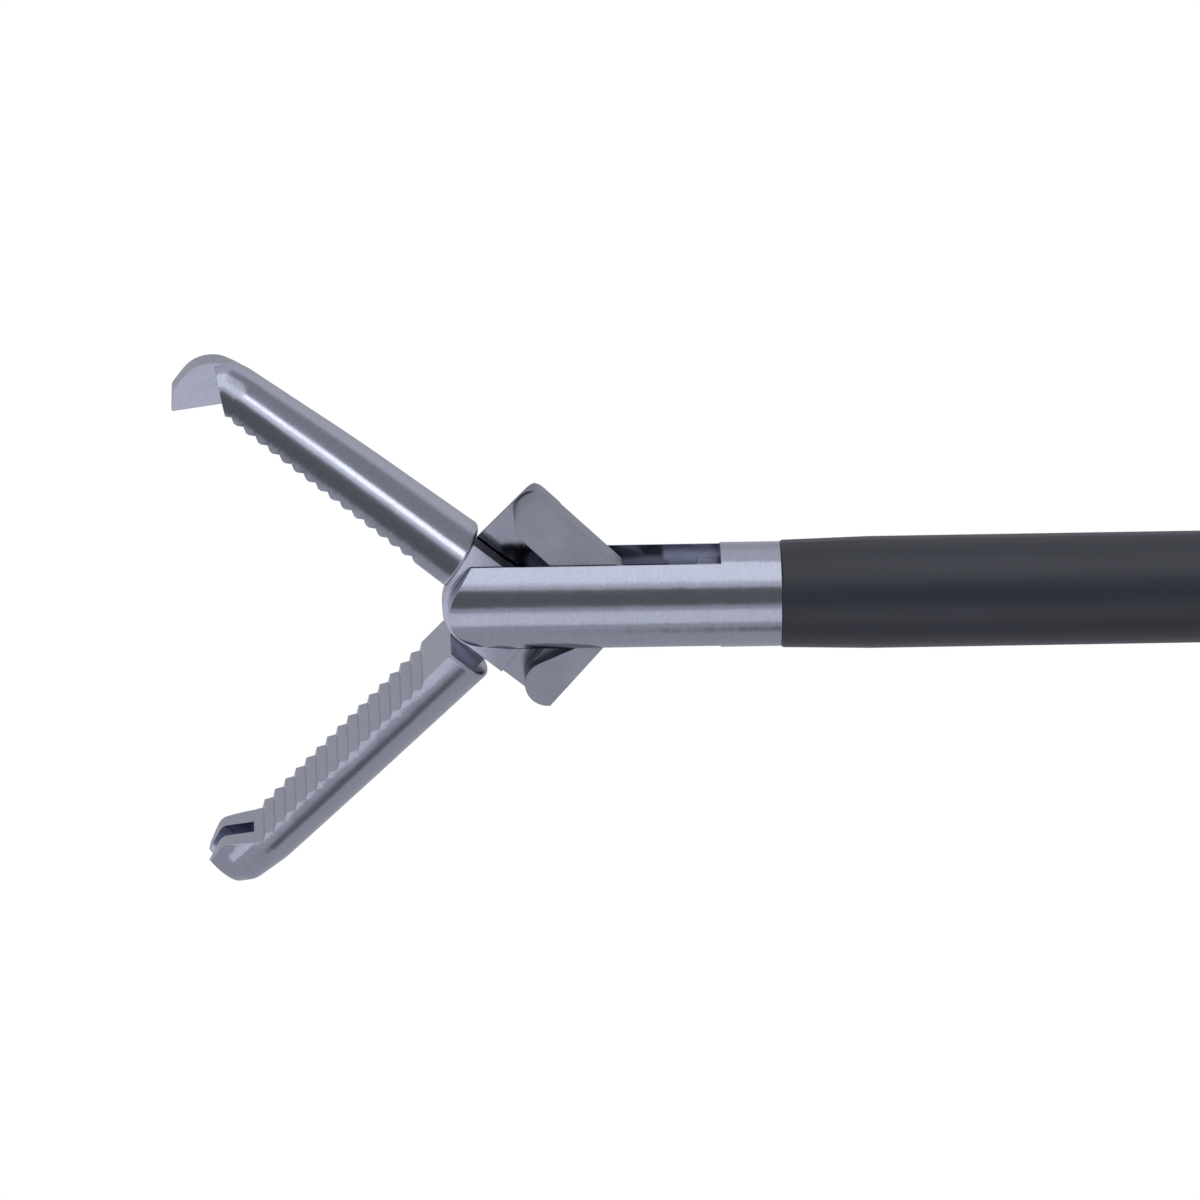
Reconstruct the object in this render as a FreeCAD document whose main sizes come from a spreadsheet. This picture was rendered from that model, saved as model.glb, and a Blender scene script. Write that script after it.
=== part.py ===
import FreeCAD, Part
import math
import os

# Laparoscopic grasping forceps, drawn with the jaws open.
# Millimetres and degrees. The shaft lies on the X axis and leaves the rotation wheel at the origin,
# towards -X; +Z is up, the handle hangs below, and the viewer's side is -Y.

doc = FreeCAD.newDocument("grasping_forceps")
sizes = doc.addObject("Spreadsheet::Sheet", "sizes")

DRIVING_SIZES = (
    ("reach", 312.6, "jaw pivot to the front face of the wheel"),
    ("steel_radius", 2.336, "round steel body that carries the jaws"),
    ("slot_half", 1.28, "half of the slot between the cheeks"),
    ("slot_depth", 10.4, "jaw pivot to the root of the slot"),
    ("clevis_length", 13.06, "jaw pivot to the shoulder that the tube meets"),
    ("nose_radius", 1.72, "rounded front of the cheeks"),
    ("nose_slope", 35, "upper slope of the cheeks' front against the upright"),
    ("nose_rise", 1.2, "height of that slope"),
    ("nose_rounding", 0.4, "rounding at the top of that slope"),
    ("nose_back", 0.3, "pivot to the end of the cheeks' cut at their top"),
    ("nose_low", 80, "place on the rounded front where its lower cut starts"),
    ("nose_low_x", 1.4, "bend of the lower cut behind the pivot"),
    ("nose_low_depth", 1.986, "depth of that bend"),
    ("nose_low_end", 2.2, "pivot to the end of the lower cut"),
    ("nose_low_rounding", 1, "rounding of that bend"),
    ("pocket_radius", 1.8, "pocket behind the slot for the link eyes"),
    ("pocket_depth", 1.8, "length of that pocket"),
    ("spigot_length", 7, "spigot of the clevis inside the tube"),
    ("bore_radius", 1.25, "bore of the clevis for the rod head"),
    ("tube_radius", 2.18, "outside of the shaft tube"),
    ("tube_bore", 1.8, "inside of the shaft tube"),
    ("sleeve_radius", 2.5, "outside of the insulating sleeve"),
    ("sleeve_end_radius", 2.4, "sleeve radius at its front end"),
    ("sleeve_taper", 4, "length of the sleeve's front taper"),
    ("sleeve_edge", 0.1, "bevel of the sleeve's front edge"),
    ("sleeve_spigot", 2.3, "sleeve radius inside the wheel"),
    ("fixed_gap", 0.01, "radial gap of pieces that are fixed in each other"),
    ("hinge_gap", 0.03, "radial gap of a hinge"),
    ("side_gap", 0.02, "half of the gap between sliding plates"),
    ("plate_side", 1.22, "outer side of the plates in the slot"),
    ("pivot_radius", 0.75, "jaw pivot pin"),
    ("pivot_depth", 1.9, "plane of symmetry to the blind end of the pivot's hole"),
    ("upper_open", 39.5, "upper jaw's angle when open"),
    ("lower_open", 45.7, "lower jaw's angle when open"),
    ("face_gap", 0.01, "gripping face to the closing plane"),
    ("near_hub_radius", 2, "hub disc of the upper jaw"),
    ("far_hub_radius", 1.7, "hub disc of the lower jaw"),
    ("neck_length", 3, "how far a hub plate runs into its blade"),
    ("neck_height", 1.95, "height of a hub plate's neck"),
    ("neck_angle", 46, "lowest direction of the lower jaw's neck"),
    ("blade_root", 2.35, "pivot to the step where a blade starts"),
    ("root_radius", 2.43, "blade radius at the step"),
    ("blade_middle", 9, "place of the middle blade radius"),
    ("middle_radius", 2.22, "blade radius there"),
    ("blade_end", 14.9, "place where the blade's tip starts"),
    ("end_radius", 1.87, "upper blade radius there"),
    ("lower_end_radius", 2, "lower blade radius there"),
    ("back_rounding", 120, "rounding of the blade's back"),
    ("root_rounding", 0.2, "rounding of the blade's rear edge"),
    ("tip_rounding", 3, "rounding where a tip starts"),
    ("shoulder_rounding", 1, "rounding of a tip's shoulder"),
    ("bend_rounding", 0.3, "rounding of a tip's bend"),
    ("tip_shoulder", 16, "shoulder of the upper tip beside the hook"),
    ("shoulder_radius", 1.7, "radius at that shoulder"),
    ("tip_bend", 16.6, "end of the upper tip beside the hook"),
    ("bend_radius", 1.2, "radius at that end"),
    ("lower_shoulder", 16.6, "shoulder of the lower tip"),
    ("lower_shoulder_radius", 1.74, "radius at that shoulder"),
    ("lower_bend", 17.25, "bend of the lower tip"),
    ("lower_bend_radius", 1.28, "radius at that bend"),
    ("lower_length", 17.5, "pivot to the end of the lower jaw"),
    ("lower_flat", 0.384, "radius of the flat end of the lower jaw"),
    ("tooth_half", 0.55, "half width of the single hook tooth"),
    ("tooth_root", 0.7, "how far the hook runs back into the blade"),
    ("tooth_inset", 0.2, "hook below the blade's back where it starts"),
    ("hook_top", 16.45, "place of the hook's upper corner"),
    ("hook_top_height", 1.58, "height of that corner"),
    ("tip_length", 17.25, "pivot to the front of the hook"),
    ("hook_front_height", 0.55, "height of the hook's foremost corner"),
    ("hook_rounding", 1.5, "rounding of the hook's two upper corners"),
    ("hook_chin", 17.2, "place of the corner where the hook turns back"),
    ("hook_chin_depth", 0.88, "depth of that corner"),
    ("chin_rounding", 0.4, "rounding of that corner"),
    ("tooth_point", 16.62, "place of the hook's point"),
    ("point_rounding", 0.08, "rounding of the hook's point"),
    ("tooth_depth", 1.63, "how far the hook passes the closing plane"),
    ("tooth_heel", 15.13, "place where the hook's back meets the closing plane"),
    ("tooth_play", 0.07, "gap on each side of the hook"),
    ("heel_play", 0.1, "gap behind the hook"),
    ("flank_start", 14.9, "place where the tip flanks start"),
    ("flank_run", 1.6, "run of the slanted tip flank"),
    ("flank_rise", 1.25, "rise of the slanted tip flank"),
    ("prong_height", 0.9, "how far the two prongs pass the closing plane"),
    ("prong_gap", 0.12, "gap between the slanted flanks of both tips"),
    ("prong_end_height", 0.5, "height of the prongs at their front"),
    ("prong_rounding", 0.5, "rounding of the prongs' upper corner"),
    ("prong_end_rounding", 0.25, "rounding of the prongs' front corner"),
    ("first_crest", 4.14, "pivot to the first cross ridge"),
    ("crest_pitch", 0.68, "distance between the ridges"),
    ("groove_count", 16, "number of grooves"),
    ("upper_groove", 0.15, "depth of the upper jaw's grooves"),
    ("lower_groove", 0.2, "depth of the lower jaw's grooves"),
    ("groove_side", 0.8, "corner radius of a groove's cutter against the pitch"),
    ("tail_reach", 4.55, "jaw pivot to a tail pin"),
    ("tail_angle", 14.2, "tail pin above the axis with closed jaws"),
    ("tail_end", 0.82, "tail pin to the end of its tail"),
    ("tail_inner_rounding", 0.5, "rounding of a tail's inner corner"),
    ("tail_outer_rounding", 0.8, "rounding of a tail's outer corner"),
    ("tail_start", 0.5, "jaw pivot to the root of the lower jaw's tail"),
    ("tail_envelope", 2.28, "round body that the closed tails keep inside"),
    ("tail_side", 0.22, "inner side of the tails"),
    ("tail_part", 0.03, "tail to the plane between the closed tails"),
    ("hub_clearance", 0.1, "upper tail to the hub disc of the lower jaw"),
    ("step_reach", 2.4, "end of the upper jaw's near plate"),
    ("web_angle", 45.5, "start of the web that joins the near plate to the tail"),
    ("tail_pin_radius", 0.45, "tail pins"),
    ("tail_pin_depth", 0.9, "how far a tail pin reaches into its link"),
    ("link_half", 1.05, "half width of a link"),
    ("link_trim", 0.74, "outer side of the upper jaw's link, ground flat"),
    ("trim_share", 0.6, "how far that flat runs, as a share of the link's length"),
    ("link_side", 0.18, "inner side of the links"),
    ("lap_plane", 0.52, "plane where the two links lap"),
    ("wedge_length", 4.2, "full thickness stretch of a link"),
    ("wedge_tip", 0.25, "height of that stretch at its end"),
    ("wedge_angle", 65, "place on the eye where that stretch starts"),
    ("upper_link_extra", 0.008, "upper jaw's link beyond the open distance of its pins"),
    ("lower_link_extra", -0.194, "lower jaw's link beyond the open distance of its pins"),
    ("upper_link_lead", 2.37, "upper jaw's link against the line between its open pins"),
    ("lower_link_lead", 1.82, "lower jaw's link against the line between its open pins"),
    ("drive_x", 6.35, "jaw pivot to the drive pin, open"),
    ("drive_z", 0.2, "drive pin above the axis"),
    ("drive_radius", 0.4, "drive pin"),
    ("drive_play", 0.27, "radial play of the link eyes on the drive pin"),
    ("drive_pin_half", 1.15, "half length of the drive pin"),
    ("stroke", 3.49, "travel of the pull rod"),
    ("tongue_half", 0.8, "half height of the rod head's tongue"),
    ("tongue_root", 0.2, "how far the tongue runs into the round part"),
    ("head_radius", 1.2, "round part of the rod head"),
    ("head_start", 1.6, "drive pin to the round part"),
    ("head_length", 9, "drive pin to the end of the rod head"),
    ("rod_insert", 5, "drive pin to the end of the rod's socket"),
    ("rod_radius", 1, "pull rod"),
    ("rod_in_ball", 1.61, "ball centre to the end of the rod"),
    ("tube_tail", 38, "wheel face to the rear end of the tube"),
    ("seal_length", 2, "seal at the rear end of the tube"),
    ("wheel_length", 17, "rotation wheel"),
    ("wheel_radius", 12, "rotation wheel"),
    ("wheel_nose_radius", 7.5, "front of the wheel"),
    ("wheel_nose", 5, "length of the wheel's cone"),
    ("wheel_nose_rounding", 1, "rounding of the wheel's front edge"),
    ("wheel_cone_rounding", 3, "rounding between the cone and the rim"),
    ("wheel_rear_rounding", 1.2, "rounding of the wheel's rear edge"),
    ("flute_count", 8, "finger flutes of the wheel"),
    ("flute_radius", 3.4, "cutter radius of a flute"),
    ("flute_offset", 13.6, "distance of a flute's axis"),
    ("sleeve_pocket", 6, "depth of the sleeve's pocket in the wheel"),
    ("pocket_play", 0.1, "gap between the sleeve and that pocket"),
    ("bush_radius", 3, "steel bush that is bonded to the tube"),
    ("bush_end", 34, "wheel face to the end of that bush"),
    ("flange_radius", 4.75, "flange of the bush"),
    ("flange_start", 30.7, "wheel face to the flange"),
    ("flange_width", 2, "thickness of the flange"),
    ("bush_rounding", 0.3, "rounding of the bush and its flange"),
    ("grub_radius", 1.25, "grub screw of the wheel"),
    ("grub_x", 11, "wheel face to the grub screw"),
    ("grub_recess", 0.8, "grub screw below the wheel's rim"),
    ("socket_depth", 1.2, "depth of a screw's hexagon socket"),
    ("socket_radius", 0.75, "corner radius of the hexagon socket"),
    ("screw_socket", 0.9, "corner radius of a shell screw's socket"),
    ("handle_front", 17.4, "wheel face to the front of the handle"),
    ("handle_half", 8, "half thickness of the housing"),
    ("handle_top", 11, "top of the housing above the axis"),
    ("handle_rear", 68, "rear of the housing"),
    ("handle_rounding", 2, "rounding of the housing's outer edges"),
    ("front_rounding", 3.5, "upper front corner of the housing"),
    ("rear_lean", 2, "housing's rear to its upper rear corner"),
    ("rear_rounding", 9, "upper rear corner of the housing"),
    ("rear_drop", 6, "lever pivot down to the lower rear corner"),
    ("rear_low_rounding", 6, "lower rear corner of the housing"),
    ("throat_back", 1.5, "lever cavity's front to the corner before the lever"),
    ("throat_drop", 7.5, "lever pivot down to that corner"),
    ("throat_rounding", 8, "rounding of that corner"),
    ("neck_rear_x", 11, "ring centre back to the rear foot of the handle's neck"),
    ("neck_rear_z", 11, "ring centre up to that foot"),
    ("neck_rear_rounding", 9, "rounding of that foot"),
    ("neck_front_x", 9, "ring centre forward to the front foot of the neck"),
    ("neck_front_z", 10, "ring centre up to that foot"),
    ("neck_front_rounding", 6, "rounding of that foot"),
    ("neck_top_x", 4.5, "ring centre forward to the top of the neck"),
    ("neck_top_drop", 6, "housing's underside down to the top of the neck"),
    ("neck_top_rounding", 8, "rounding between the neck and the underside"),
    ("front_low_rounding", 4, "lower front corner of the housing"),
    ("ring_half", 5.5, "half thickness of the finger ring"),
    ("ring_bore", 11, "inside radius of the finger ring's ends"),
    ("ring_wall", 4.5, "wall of the finger ring"),
    ("ring_top_x", 36, "upper centre of the finger ring"),
    ("ring_top_z", -44, "upper centre of the finger ring"),
    ("ring_low_x", 31, "lower centre of the finger ring"),
    ("ring_low_z", -66, "lower centre of the finger ring"),
    ("ring_rounding", 2, "rounding of the ring edges"),
    ("bearing_radius", 5.5, "bearing bush of the shaft"),
    ("bearing_start", 18.4, "wheel face to the bearing bush"),
    ("bearing_length", 11, "bearing bush"),
    ("bearing_play", 0.02, "gap at each end of the bearing bush"),
    ("wall_bore", 3.4, "bore of the walls beside the bearing bush"),
    ("chamber_start", 30.4, "start of the shaft chamber"),
    ("chamber_radius", 5.6, "shaft chamber"),
    ("cavity_start", 49.5, "front of the lever cavity"),
    ("cavity_end", 64.6, "rear of the lever cavity"),
    ("cavity_top", 5.6, "top of the lever cavity"),
    ("cavity_half", 3.9, "half width of the lever cavity"),
    ("exit_top", -5.5, "top of the slot where the lever comes out"),
    ("lever_x", 58, "lever pivot behind the wheel face"),
    ("lever_z", -10, "lever pivot against the axis"),
    ("lever_swing", 9.898, "half of the lever's whole swing"),
    ("lever_pin_radius", 2, "lever pivot pin"),
    ("lever_half", 3.6, "half thickness of the moulded lever"),
    ("lever_boss", 5.6, "boss of the moulded lever"),
    ("insert_half", 1.5, "half thickness of the steel insert"),
    ("insert_boss", 5, "eye of the steel insert"),
    ("insert_arm", 4, "half width of the insert's upper arm"),
    ("insert_leg", 3, "half width of the insert's lower arm"),
    ("insert_reach", 23, "length of the insert's lower arm"),
    ("insert_root", 0.5, "how far the upper arm runs into the ball seat"),
    ("slit_play", 0.1, "gap between the insert's edges and the moulded lever"),
    ("boss_play", 0.3, "gap between the moulded lever and its pivot pin"),
    ("rivet_radius", 1, "rivets of the insert"),
    ("rivet_end", 4, "last rivet to the end of the insert"),
    ("rivet_pitch", 8, "distance between the rivets"),
    ("seat_half", 3.9, "half length of the ball seat"),
    ("seat_side", 3.4, "half width of the ball seat"),
    ("seat_low", 6.4, "lever pivot to the underside of the seat"),
    ("seat_high", 13.2, "lever pivot to the top of the seat"),
    ("ball_radius", 2.3, "ball at the end of the rod"),
    ("ball_play", 0.04, "gap between the ball and its seat"),
    ("seat_room", 0.3, "gap below the ball"),
    ("seat_step", 0.2, "gap beside the neck of the ball"),
    ("neck_radius", 1.6, "neck of the ball"),
    ("neck_reach", 5.2, "ball centre to the end of its neck"),
    ("nut_flat", 4, "lock nut across its flats"),
    ("nut_length", 1.6, "lock nut"),
    ("thumb_u", 27, "thumb ring centre along X in the lever's own frame"),
    ("thumb_v", -44, "thumb ring centre along Z in the lever's own frame"),
    ("thumb_bore", 13.2, "inside radius of the thumb ring"),
    ("thumb_wall", 4.6, "wall of the thumb ring"),
    ("thumb_half", 5, "half thickness of the thumb ring"),
    ("thumb_rounding", 2, "rounding of the thumb ring"),
    ("stem_half", 4.6, "half width of the lever's stem"),
    ("stem_rounding", 1.5, "rounding of the stem"),
    ("stem_root", 1, "end of the stem to the bore of the thumb ring"),
    ("pin_inset", 0.1, "ends of pins and rivets below the face around them"),
    ("stop_radius", 1.25, "stop pin"),
    ("stop_gap", 0.06, "gap between the open lever and the stop pin"),
    ("stop_height", 5.2, "lever pivot to the stop pin along the arm"),
    ("screw_radius", 1.25, "shell screws"),
    ("screw_head", 2.2, "head of a shell screw"),
    ("head_recess", 0.1, "housing's side to the top of a screw"),
    ("head_depth", 1.4, "depth of that head"),
    ("screw_end", 5, "end of a shell screw past the parting plane"),
    ("screw_inset", 2.9, "edge of the housing to a screw"),
    ("front_screw", 22.2, "wheel face to the two front screws"),
    ("rear_screw", 57.5, "wheel face to the rear screw"),
    ("low_screw_x", 38.5, "screw above the finger ring"),
    ("low_screw_z", -25, "screw above the finger ring"),
    ("nut_radius", 2, "threaded insert"),
    ("nut_start", 0.8, "parting plane to a threaded insert"),
    ("post_x", 44, "wheel face to the connector post"),
    ("post_radius", 2, "connector post"),
    ("post_root_radius", 2.4, "root of the post inside its collar"),
    ("post_length", 14, "bare length of the connector post"),
    ("post_base", 5.5, "underside of the connector post"),
    ("post_rounding", 0.6, "rounding of the post's top"),
    ("post_room", 1, "room around the foot of the post"),
    ("post_room_depth", 3, "room below the post"),
    ("collar_radius", 4.5, "insulating collar"),
    ("collar_rise", 6, "collar above the housing"),
    ("collar_base", 6.8, "underside of the collar"),
    ("collar_flange", 5.6, "flange of the collar"),
    ("collar_flange_depth", 1.6, "thickness of that flange"),
    ("collar_rounding", 1, "rounding of the collar's top"),
    ("collar_play", 0.05, "gap around the flange of the collar"),
    ("spring_half", 1.5, "half width of the contact spring"),
    ("spring_thickness", 0.3, "contact spring"),
    ("spring_contact", 36, "where the spring rides on the tube"),
    ("spring_gap", 0.06, "spring above the tube"),
    ("spring_foot", 1.2, "front of the spring's foot to that place"),
    ("spring_knee", 0.8, "that place to the spring's lower bend"),
    ("spring_knee_rounding", 0.8, "inside of the lower bend"),
    ("spring_lead", 0.2, "post to the spring's upper bend"),
    ("spring_lead_rounding", 0.4, "inside of the upper bend"),
    ("spring_shift", 0.1, "underside's corners behind the upper side's"),
)

for row, (alias, number, note) in enumerate(DRIVING_SIZES, start=1):
    sizes.set(f"A{row}", alias)
    sizes.set(f"B{row}", str(number))
    sizes.setAlias(f"B{row}", alias)
    sizes.set(f"C{row}", note)
doc.recompute()

PIVOT = "(-sizes.reach)"
DRIVE = f"({PIVOT} + sizes.drive_x)"
BALL = "(sizes.lever_x - sizes.stroke / 2)"
SHOULDER = f"({PIVOT} + sizes.clevis_length)"
TAIL_X = "(sizes.tail_reach * cos(sizes.tail_angle))"
TAIL_Z = "(sizes.tail_reach * sin(sizes.tail_angle))"
STEM_LENGTH = "(sqrt(sizes.thumb_u ^ 2 + sizes.thumb_v ^ 2))"
STEM_ANGLE = "(atan2(-sizes.thumb_v; sizes.thumb_u))"
# Longer than any piece that it cuts is deep.
BEYOND = 30
# How far joined pieces run into each other, and cuts past a face.
LAP = 1
# Distance within which two places are the same.
SAME = 1e-4


def value(expression):
    """The number that an expression over the sheet gives."""
    result = sizes.evalExpression(str(expression))
    return float(getattr(result, "Value", result))


def place(piece, x=0, y=0, z=0, axis=(0, 1, 0), angle=0):
    """Put a piece at a place, turned by an angle about an axis, both tied to the sheet."""
    # Only a turn that isn't zero keeps its axis until the angle follows the sheet.
    some_turn = FreeCAD.Rotation(FreeCAD.Vector(*axis), 30)
    piece.Placement = FreeCAD.Placement(FreeCAD.Vector(), some_turn)
    for coordinate, expression in (("x", x), ("y", y), ("z", z)):
        piece.setExpression("Placement.Base." + coordinate, str(expression))
    piece.setExpression("Placement.Rotation.Angle", str(angle))
    return piece


def cylinder(name, radius, length):
    """A cylinder whose radius and length follow the sheet."""
    piece = doc.addObject("Part::Cylinder", name)
    piece.setExpression("Radius", str(radius))
    piece.setExpression("Height", str(length))
    return piece


def along_x(name, radius, x0, x1, y=0, z=0):
    """A cylinder along X."""
    return place(cylinder(name, radius, f"({x1}) - ({x0})"), x0, y, z, (0, 1, 0), 90)


def along_y(name, radius, y0, y1, x=0, z=0):
    """A cylinder along Y."""
    return place(cylinder(name, radius, f"({y1}) - ({y0})"), x, y0, z, (1, 0, 0), -90)


def along_z(name, radius, z0, z1, x=0, y=0):
    """A cylinder along Z."""
    return place(cylinder(name, radius, f"({z1}) - ({z0})"), x, y, z0)


def box(name, x0, x1, y0, y1, z0, z1):
    """A box between three pairs of planes."""
    piece = doc.addObject("Part::Box", name)
    piece.setExpression("Length", f"({x1}) - ({x0})")
    piece.setExpression("Width", f"({y1}) - ({y0})")
    piece.setExpression("Height", f"({z1}) - ({z0})")
    return place(piece, x0, y0, z0)


def hexagon(name, radius, length):
    """A hexagonal prism along its own Z axis."""
    piece = doc.addObject("Part::Prism", name)
    piece.Polygon = 6
    piece.setExpression("Circumradius", str(radius))
    piece.setExpression("Height", str(length))
    return piece


def fuse(name, *pieces):
    """One solid from pieces that overlap."""
    if len(pieces) == 1:
        return pieces[0]
    union = doc.addObject("Part::MultiFuse", name)
    union.Shapes = list(pieces)
    return union


def cut(name, base, *tools):
    """A piece less its tools."""
    result = doc.addObject("Part::Cut", name)
    result.Base = base
    result.Tool = fuse(name + "_tools", *tools)
    return result


def common(name, base, tool):
    """What a piece and a tool share."""
    result = doc.addObject("Part::Common", name)
    result.Base = base
    result.Tool = tool
    return result


def mirrored(name, source):
    """A mirror image across the XZ plane."""
    result = doc.addObject("Part::Mirroring", name)
    result.Source = source
    result.Normal = FreeCAD.Vector(0, 1, 0)
    return result


def rounded(name, base, radius, wanted):
    """Round the edges of a piece that a test picks."""
    doc.recompute()
    fillet = doc.addObject("Part::Fillet", name)
    fillet.Base = base
    size = value(radius)
    fillet.Edges = [(i, size, size) for i, edge in enumerate(base.Shape.Edges, start=1) if wanted(edge)]
    return fillet


def in_plane(axis, level):
    """A test for edges that lie in the plane where a coordinate has a value."""
    def lies(edge):
        """Whether all ends of an edge are in the plane."""
        return all(abs(getattr(vertex, axis) - value(level)) < SAME for vertex in edge.Vertexes)

    return lies


def draw(sketch, corners):
    """Draw a closed outline through corners (x, z, rounding radius)."""
    points = [FreeCAD.Vector(value(corner[0]), value(corner[1]), 0) for corner in corners]
    radii = [value(corner[2]) if len(corner) > 2 else 0 for corner in corners]
    starts, ends = [], []
    for i, (point, radius) in enumerate(zip(points, radii)):
        before = (point - points[i - 1]).normalize()
        after = (points[(i + 1) % len(points)] - point).normalize()
        if radius == 0:
            starts.append(point)
            ends.append(point)
            continue
        turn = before.getAngle(after)
        trim = radius * math.tan(turn / 2)
        inward = (after - before).normalize()
        start, end = point - before * trim, point + after * trim
        middle = point + inward * (radius / math.cos(turn / 2) - radius)
        sketch.addGeometry(Part.Arc(start, middle, end))
        starts.append(start)
        ends.append(end)
    for i, end in enumerate(ends):
        start = starts[(i + 1) % len(points)]
        if end.distanceToPoint(start) > SAME:
            sketch.addGeometry(Part.LineSegment(end, start))


def sketched(name, corners):
    """A body with one sketch on its XZ plane."""
    body = doc.addObject("PartDesign::Body", name)
    sketch = body.newObject("Sketcher::SketchObject", name + "_sketch")
    plane = next(feature for feature in body.Origin.OriginFeatures if feature.Role == "XZ_Plane")
    sketch.AttachmentSupport = [(plane, "")]
    sketch.MapMode = "FlatFace"
    draw(sketch, corners)
    return body, sketch


def plate(name, corners, y0, y1):
    """An outline in the XZ plane, padded from y0 to y1."""
    body, sketch = sketched(name, corners)
    pad = body.newObject("PartDesign::Pad", name + "_pad")
    pad.Profile = sketch
    pad.Reversed = True
    pad.setExpression("Length", f"({y1}) - ({y0})")
    body.Tip = pad
    return place(body, y=y0)


def turned(name, corners):
    """An outline turned about the X axis."""
    body, sketch = sketched(name, corners)
    revolution = body.newObject("PartDesign::Revolution", name + "_turn")
    revolution.Profile = sketch
    revolution.ReferenceAxis = (sketch, ["H_Axis"])
    revolution.Angle = 360
    body.Tip = revolution
    return body


def stadium(name, x0, z0, x1, z1, radius, y0, y1):
    """A plate with two round ends, between two centres."""
    length = f"sqrt((({x1}) - ({x0})) ^ 2 + (({z1}) - ({z0})) ^ 2)"
    bar = box(name + "_bar", 0, length, y0, y1, f"-({radius})", radius)
    bar.setExpression("Placement.Base.x", f"({x0}) - ({radius}) * ({z0} - ({z1})) / {length}")
    bar.setExpression("Placement.Base.z", f"({z0}) - ({radius}) * ({x1} - ({x0})) / {length}")
    bar.setExpression("Placement.Rotation.Angle", f"atan2(({z0}) - ({z1}); ({x1}) - ({x0}))")
    first = along_y(name + "_first", radius, y0, y1, x0, z0)
    second = along_y(name + "_second", radius, y0, y1, x1, z1)
    return fuse(name, bar, first, second)


parts = []


def part(piece, label):
    """Name a finished piece after its node."""
    piece.Label = label
    parts.append(piece)
    return piece


def at_pivot(piece, angle=0):
    """Move a piece drawn about the jaw pivot to its place, turned by its open angle."""
    return place(piece, PIVOT, 0, 0, (0, 1, 0), angle)


def blade(name, side, depth, *tip):
    """Round blank and grooved half of a jaw; side is 1 for the upper jaw and -1 for the lower one."""
    blank = turned(name + "_blank", (
        ("-sizes.blade_root", 0),
        ("-sizes.blade_root", "sizes.root_radius", "sizes.root_rounding"),
        ("-sizes.blade_middle", "sizes.middle_radius", "sizes.back_rounding"),
        *tip,
    ))
    low, high = ("sizes.face_gap", BEYOND) if side > 0 else (-BEYOND, "-sizes.face_gap")
    half = common(name + "_half", blank, box(name + "_side", -BEYOND, 0, -BEYOND, BEYOND, low, high))
    grooves = []
    for i in range(int(value("sizes.groove_count"))):
        groove = hexagon(f"{name}_groove_{i + 1}", "sizes.groove_side * sizes.crest_pitch", 2 * BEYOND)
        place(
            groove,
            f"-(sizes.first_crest + {i + 0.5} * sizes.crest_pitch)",
            -BEYOND,
            f"{side} * (sizes.face_gap + {depth} - sizes.groove_side * sizes.crest_pitch)",
            (1, 1, 1),
            -120,
        )
        grooves.append(groove)
    return blank, cut(name + "_grooved", half, *grooves)


def tail_outline(side, start):
    """Corners of a tail in the closed pose, on the upper or the lower side of the axis."""
    end = f"({TAIL_X} + sizes.tail_end)"
    outer = f"{side} * sizes.tail_envelope"
    return (
        (0, f"{side} * sizes.tail_part"),
        (end, f"{side} * sizes.tail_part", "sizes.tail_inner_rounding"),
        (end, outer, "sizes.tail_outer_rounding"),
        (start, outer),
    )


def pin_holes(name, side):
    """Holes of a jaw for its pivot pin and its tail pin."""
    return (
        along_y(name + "_pivot_hole", "sizes.pivot_radius + sizes.hinge_gap", -BEYOND, BEYOND),
        along_y(
            name + "_tail_hole", "sizes.tail_pin_radius + sizes.fixed_gap",
            0, BEYOND, TAIL_X, f"{side} * {TAIL_Z}",
        ),
    )


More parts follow.
